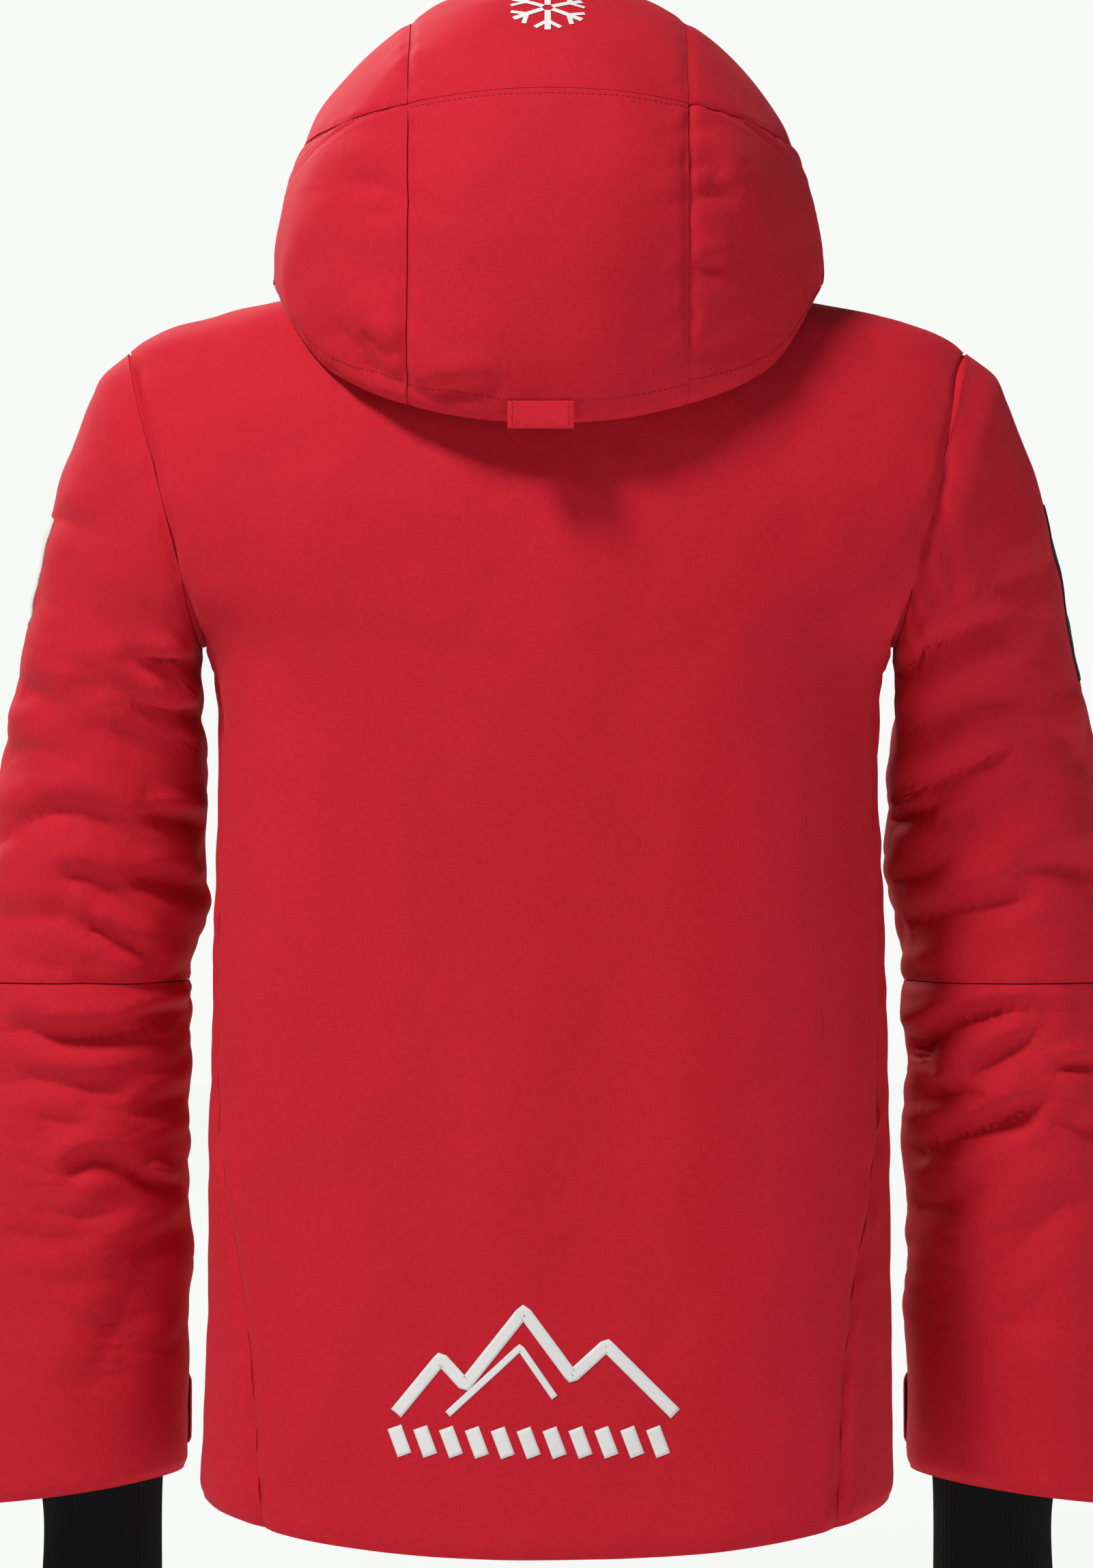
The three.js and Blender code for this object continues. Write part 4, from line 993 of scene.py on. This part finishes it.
sheet_piece("powder_skirt_sheet", skirt(0), skirt(.0013), taffeta, "lining_fabric", ("powder_skirt",), "hung",
            ["back_lining_sheet"], "torso")

# ---- Armhole tapes, cuff tabs, gaiters and badges ----
# A taped seam closes each armhole. The cuff tab is sewn at the back and closes towards the body; the black
# rib-knit gaiter is sewn to the sleeve lining; each upper arm carries a flat stitched-down badge.
knit = Finish("rib knit")
loops = knit.noise(knit.cloth((1, .35)), 1500, 2)
knit = knit.done({"Base Color": knit.mix(loops, (.0035, .0035, .0038, 1), (.010, .010, .011, 1)),
                  "Roughness": .9, "Specular IOR Level": .15}, loops, .0003, .6)
patch_white = woven("white badge", (.80, .79, .76, 1), (.66, .65, .62, 1), pitch=.0007, roughness=.6,
                    relief=.0001)
patch_dark = woven("dark badge", (.02, .021, .024, 1), (.008, .008, .009, 1), pitch=.0007, roughness=.6,
                   relief=.0001)
BADGES = {"left": (.4, .58, .26, patch_white, "badge_white"), "right": (.38, .66, .24, patch_dark, "badge_dark")}
gaiter_rings = through([[0, -.678, 0], [.3, -.708, .6], [.55, -.742, 1], [1, -.82, 1]])
for seed, (name, side) in enumerate(SIDES):
    flip = np.array([side, 1, 1])
    a = np.arange(AROUND) * 2 * np.pi / AROUND
    reach = armhole_reach(a)
    middle, way, _, _ = rail(0.0)
    across = np.linspace(-1, 1, 9)[:, None]

    def tape_ring(d):
        """A band, rounded across, along the armhole's own outline and drawn in with its seam."""
        r = reach - d - .0024 * (1 - smooth(.35, .85, np.cos(a))) - .0032 * across**2
        p = middle + way * (r * np.cos(a))[..., None]
        p[..., 1] += r * np.sin(a)
        return (p + .0052 * across[..., None] * arm_normal) * flip
    sheet_piece(f"{name}_armhole_tape", tape_ring(.0012), tape_ring(.0024), red, "red_fabric", (), "stretched",
                ["back_shell"], "torso", True)

    x, y = np.meshgrid(np.linspace(0, 1, 61), np.linspace(0, 1, 31))
    # The free end is rounded: its rows close in towards the tab's middle.
    end = 1 - np.clip((.16 - x) / .16, 0, 1) ** 2 * .32
    s = 1.89 + .14 * (y - .5) * end
    angle = np.radians(183 + 82 * x)
    rim = np.maximum(np.abs(2 * y - 1) ** 12, (1 - x) ** 22)
    high = .0029 - .0011 * rim - .0003 * np.exp(-((np.abs(2 * y - 1) - .84) / .04) ** 2)
    tab = piece(f"{name}_cuff_tab_shell", sleeve(s, angle, -high) * flip, sleeve(s, angle, -.0012) * flip)
    dressed(tab, red, (f"{name}_cuff_tab",), f"{name}_tab")

    v, a = np.linspace(0, 1, 60)[:, None], np.arange(240) * 2 * np.pi / 240

    def gaiter(d):
        """The sleeve's own ring inside its lining, narrowing to a round tube below, with fine upright ribs."""
        z, narrow = np.moveaxis(gaiter_rings(v), -1, 0)
        rib = d + .00035 * (1 + np.cos(60 * a))
        wide = sleeve(1.82 + .18 * v, a, .008 + rib)
        r = .0375 - rib
        thin = np.stack(np.broadcast_arrays(.2755 + r * np.cos(a), -.092 + r * np.sin(a), z), -1)
        p = wide + (thin - wide) * narrow[..., None]
        p[..., 2] = wide[..., 2] + (z - wide[..., 2]) * np.minimum(1, v * 3)
        return p * flip
    sheet_piece(f"{name}_gaiter_knit", gaiter(0), gaiter(.0022), knit, "stretch_black", (f"{name}_gaiter",),
                "stretched", [f"{name}_lower_sleeve_lining_sheet"], f"{name}_forearm", True)

    s0, s1, spread, cloth, slot_name = BADGES[name]
    y, x = np.meshgrid(np.linspace(0, 1, 45), np.linspace(-1, 1, 41), indexing="ij")
    tuck_in = 1 - .05 * np.abs(2 * y - 1) ** 14
    s, angle = s0 + (s1 - s0) * y, x * spread * tuck_in
    grid = sleeve(s, angle)
    n = outward(grid, grid.mean((0, 1)) - arm_normal * .07)
    lift = crumple(grid, angle, s, FOLDS[name], 20 + 7 * seed)
    rim = np.maximum(np.abs(x) ** 16, np.abs(2 * y - 1) ** 20)
    badge = piece(f"{name}_badge_patch", (grid + n * (lift + .0011 - .0004 * rim)[..., None]) * flip,
                  (grid + n * (lift + .0001)[..., None]) * flip)
    turn_with_arm(dressed(badge, cloth, (f"{name}_badge",)))

# ---- Topstitching ----
# Shell-coloured polyester thread in a lockstitch along the hood's crown seam, its lower casing and the size
# loop.
thread = Finish("polyester thread")
twist = thread.noise(thread.place(), 2500, 1)
thread = thread.done({"Base Color": thread.mix(twist, (.17, .004, .008, 1), (.30, .008, .016, 1)),
                      "Roughness": .6, "Specular IOR Level": .3})
HEX = np.radians(np.arange(6) * 60)
STITCH = np.concatenate([[[-1, 0, 0]], *[np.stack([np.full(6, x), r * np.cos(HEX), r * np.sin(HEX)], -1)
                                         for x, r in ((-.75, .8), (0, 1), (.75, .8))], [[1, 0, 0]]])
k, nxt = np.arange(6), (np.arange(6) + 1) % 6
STITCH_FACES = np.concatenate([
    np.stack([0 * k, 0 * k, 1 + nxt, 1 + k], -1), np.stack([1 + k, 1 + nxt, 7 + nxt, 7 + k], -1),
    np.stack([7 + k, 7 + nxt, 13 + nxt, 13 + k], -1), np.stack([13 + k, 13 + nxt, 19 + 0 * k, 19 + 0 * k], -1)])


def stitched(name, lines, body_name, pitch=.0034, length=.0024, radius=.00026):
    """Stitches along lines of (points, outward normals): short lozenges lying a pitch apart."""
    centres, ways = [], []
    for points, normals in lines:
        at = np.concatenate([[0], np.cumsum(np.linalg.norm(np.diff(points, axis=0), axis=1))])
        spots = np.arange(pitch / 2, at[-1], pitch)
        p = np.stack([np.interp(spots, at, points[:, j]) for j in range(3)], -1)
        n = np.stack([np.interp(spots, at, normals[:, j]) for j in range(3)], -1)
        way = np.gradient(p, axis=0)
        way /= np.linalg.norm(way, axis=1, keepdims=True) + 1e-12
        centres.append(p + n * radius * .4)
        ways.append(np.stack([way * length / 2, np.cross(n, way) * radius, n * radius], 1))
    points, faces = many(STITCH, STITCH_FACES, np.concatenate(centres), np.concatenate(ways))
    triangles = [[f[0], f[2], f[3]] if f[0] == f[1] else [f[0], f[1], f[2]] if f[2] == f[3] else f
                 for f in faces.tolist()]
    mesh = bpy.data.meshes.new(name)
    mesh.from_pydata(points.tolist(), [], triangles)
    mesh.shade_smooth()
    made = bpy.data.objects.new(name, mesh)
    bpy.context.scene.collection.objects.link(made)
    return dressed(made, thread, None, body_name)


def line_of(grid, where):
    """Some of the hood's grid points, such as one row, with their outward normals."""
    return grid[where], outward(grid, EAR)[where]


BELOW_CROWN, CASING_ROW, SIDE_CASING_ROW = -3, 8, 6
lines = [line_of(centre_back, BELOW_CROWN), line_of(centre_back, CASING_ROW)]
for name, side in SIDES:
    # From the strip's corner to the brow, this column runs under the crown seam.
    lines.append(line_of(hood_sides[name], (slice(74, 165), 3)))
    lines.append(line_of(hood_sides[name], SIDE_CASING_ROW))
follow_hood(stitched("hood_topstitching", lines, None))
# Along the size loop's two sewn ends.
up = np.linspace(-.0075, .0075, 20)
loop_out = np.array([0, np.cos(turned), np.sin(turned)])
bars = [(np.stack([0 * up + aside, -up * np.sin(turned), up * np.cos(turned)], -1) + tab_middle
         + (0, .0011, .0004), np.tile(loop_out, (len(up), 1))) for aside in (-.0163, .0163)]
stitched("size_loop_stitching", bars, "hood", .0022, .0016, .0002)

# ---- Printed marks ----
# Two soft white transfers, pressed on: a plain six-armed snow star on the hood and a plain ridge line over
# slanting bars at the back hem.
ink = Finish("white transfer")
press = ink.noise(ink.place(), 700, 2)
ink = ink.done({"Base Color": ink.mix(press, (.78, .75, .735, 1), (.84, .82, .81, 1)),
                "Roughness": .55, "Specular IOR Level": .2}, press, .00005, .5)


def ribbon(path, width, steps=24):
    """A flat strip about a bent line of (x, z) points in millimetres, sheared square at its ends."""
    path = np.array(path, float) / 1000
    k = np.linspace(0, len(path) - 1, steps * (len(path) - 1) + 1)
    line = np.stack([np.interp(k, np.arange(len(path)), path[:, j]) for j in range(2)], -1)
    way = np.gradient(line, axis=0)
    way /= np.linalg.norm(way, axis=1, keepdims=True)
    side_way = np.stack([-way[:, 1], way[:, 0]], -1) * width / 2000
    return line[:, None] + side_way[:, None] * np.linspace(-1, 1, 5)[None, :, None]


def strips_joined(strips):
    """The points and faces of several grids as one mesh's."""
    faces, count = [], 0
    for grid in strips:
        index = np.arange(grid.shape[0] * grid.shape[1]).reshape(grid.shape[:2]) + count
        faces.append(corners(index))
        count += index.size
    return np.concatenate([grid.reshape(-1, 3) for grid in strips]), np.concatenate(faces)


def transfer(name, strips, target, body_name):
    """Strips pressed onto a panel from behind it, a hair proud, and given the transfer's thickness."""
    made = solid(name, *strips_joined([np.stack([g[..., 0], np.full(g.shape[:2], .3), g[..., 1]], -1)
                                       for g in strips]))
    press_on = made.modifiers.new("press", "SHRINKWRAP")
    press_on.target, press_on.wrap_method = target, "PROJECT"
    press_on.use_project_y, press_on.use_negative_direction, press_on.use_positive_direction = True, True, False
    press_on.offset = .0002
    thick = made.modifiers.new("thick", "SOLIDIFY")
    thick.thickness, thick.offset = .00015, 1
    evaluated = made.evaluated_get(bpy.context.evaluated_depsgraph_get())
    made.data = bpy.data.meshes.new_from_object(evaluated)
    made.modifiers.clear()
    dressed(made, ink, None, body_name)


ridge = [ribbon([(88, -672), (62, -640), (48, -655), (14, -612), (-14, -650), (-34, -632), (-74, -672)], 7.5),
         ribbon([(58, -672), (16, -633), (-4, -662)], 4)]
slants = [ribbon([(86 - 15 * i + 3, -680), (86 - 15 * i - 3, -696)], 8.5, 8) for i in range(11)]
transfer("hem_print", ridge + slants, bpy.data.objects["back_shell"], "torso")


def laid(grid, inside, x, along_way, row):
    """Points on a panel's own grid, x across it and so far along its middle column from a row, a hair proud:
    each is found between four of the grid's points."""
    column = grid[:, grid.shape[1] // 2]
    at = np.concatenate([[0], np.cumsum(np.linalg.norm(np.diff(column, axis=0), axis=1))])
    r = np.interp(along_way + at[row], at, np.arange(len(at)))
    across_x = grid[row, :, 0]
    rising = np.sign(across_x[-1] - across_x[0])
    c = np.interp(x * rising, across_x * rising, np.arange(len(across_x)))
    proud = grid + outward(grid, inside) * .0004
    r0, c0 = np.minimum(r.astype(int), len(at) - 2), np.minimum(c.astype(int), len(across_x) - 2)
    fr, fc = (r - r0)[..., None], (c - c0)[..., None]
    return ((proud[r0, c0] * (1 - fc) + proud[r0, c0 + 1] * fc) * (1 - fr)
            + (proud[r0 + 1, c0] * (1 - fc) + proud[r0 + 1, c0 + 1] * fc) * fr)


STAR_Z = .146
star_row = int(np.abs(centre_crown[:, centre_crown.shape[1] // 2, 2] - STAR_Z).argmin())
arms = []
for i in range(6):
    turn_by = np.radians(60 * i)
    spin = np.array([[np.cos(turn_by), np.sin(turn_by)], [-np.sin(turn_by), np.cos(turn_by)]])
    for line, width in (([(0, 3), (0, 23)], 3.6), ([(-7.5, 20.5), (0, 14), (7.5, 20.5)], 2.8)):
        arm = ribbon(np.array(line) @ spin, width, 8)
        arms.append(laid(centre_crown, EAR, arm[..., 0], arm[..., 1], star_row))
dressed(solid("hood_star", *strips_joined(arms)), ink, None, "hood")

# ---- The studio ----
# A plain pale room: a floor and a backdrop of one even tone, a large soft light high on the wearer's
# left behind, a weak one on the other side, and even light all round.
def area_light(name, place, aim, size, watts):
    """A round soft light at a place, turned towards a point."""
    lamp = bpy.data.lights.new(name, "AREA")
    lamp.shape, lamp.size, lamp.energy = "DISK", size, watts
    made = bpy.data.objects.new(name, lamp)
    bpy.context.scene.collection.objects.link(made)
    made.location = place
    made.rotation_euler = (Vector(aim) - Vector(place)).to_track_quat("-Z", "Y").to_euler()


area_light("key", (1.65, 1.75, 2.9), (0, 0, -.3), .9, 146)
area_light("front key", (1.6, -2.6, 1.6), (0, 0, -.3), 1.6, 80)
area_light("fill", (-2.0, 2.6, -.6), (0, 0, -.4), 2.2, 13)
world = bpy.data.worlds.new("studio")
bpy.context.scene.world = world
world.use_nodes = True
room = world.node_tree
room.nodes.clear()
even, seen = room.nodes.new("ShaderNodeBackground"), room.nodes.new("ShaderNodeBackground")
even.inputs[0].default_value, even.inputs[1].default_value = (1, 1, 1, 1), .105
seen.inputs[0].default_value, seen.inputs[1].default_value = (.93, .95, .93, 1), 1
path, choose = room.nodes.new("ShaderNodeLightPath"), room.nodes.new("ShaderNodeMixShader")
last = room.nodes.new("ShaderNodeOutputWorld")
room.links.new(path.outputs["Is Camera Ray"], choose.inputs[0])
room.links.new(even.outputs[0], choose.inputs[1])
room.links.new(seen.outputs[0], choose.inputs[2])
room.links.new(choose.outputs[0], last.inputs[0])

plain = Finish("floor")
glow = plain.node("Emission", {}, {"Color": (.93, .95, .93, 1), "Strength": .975})
matt = plain.node("BsdfDiffuse", {}, {"Color": (.03, .03, .03, 1)})
plain.node("OutputMaterial", {}, {"Surface": plain.node("AddShader", {}, {0: glow, 1: matt})})
floor_z = cad_box[0].z - .006
corner = 6.0
floor = solid("floor", np.array([[-corner, -corner, floor_z], [corner, -corner, floor_z],
                                 [corner, corner, floor_z], [-corner, corner, floor_z]]),
              np.array([[0, 1, 2, 3]]))
floor.data.materials.append(plain.made)
bpy.context.scene.view_settings.view_transform = "Standard"
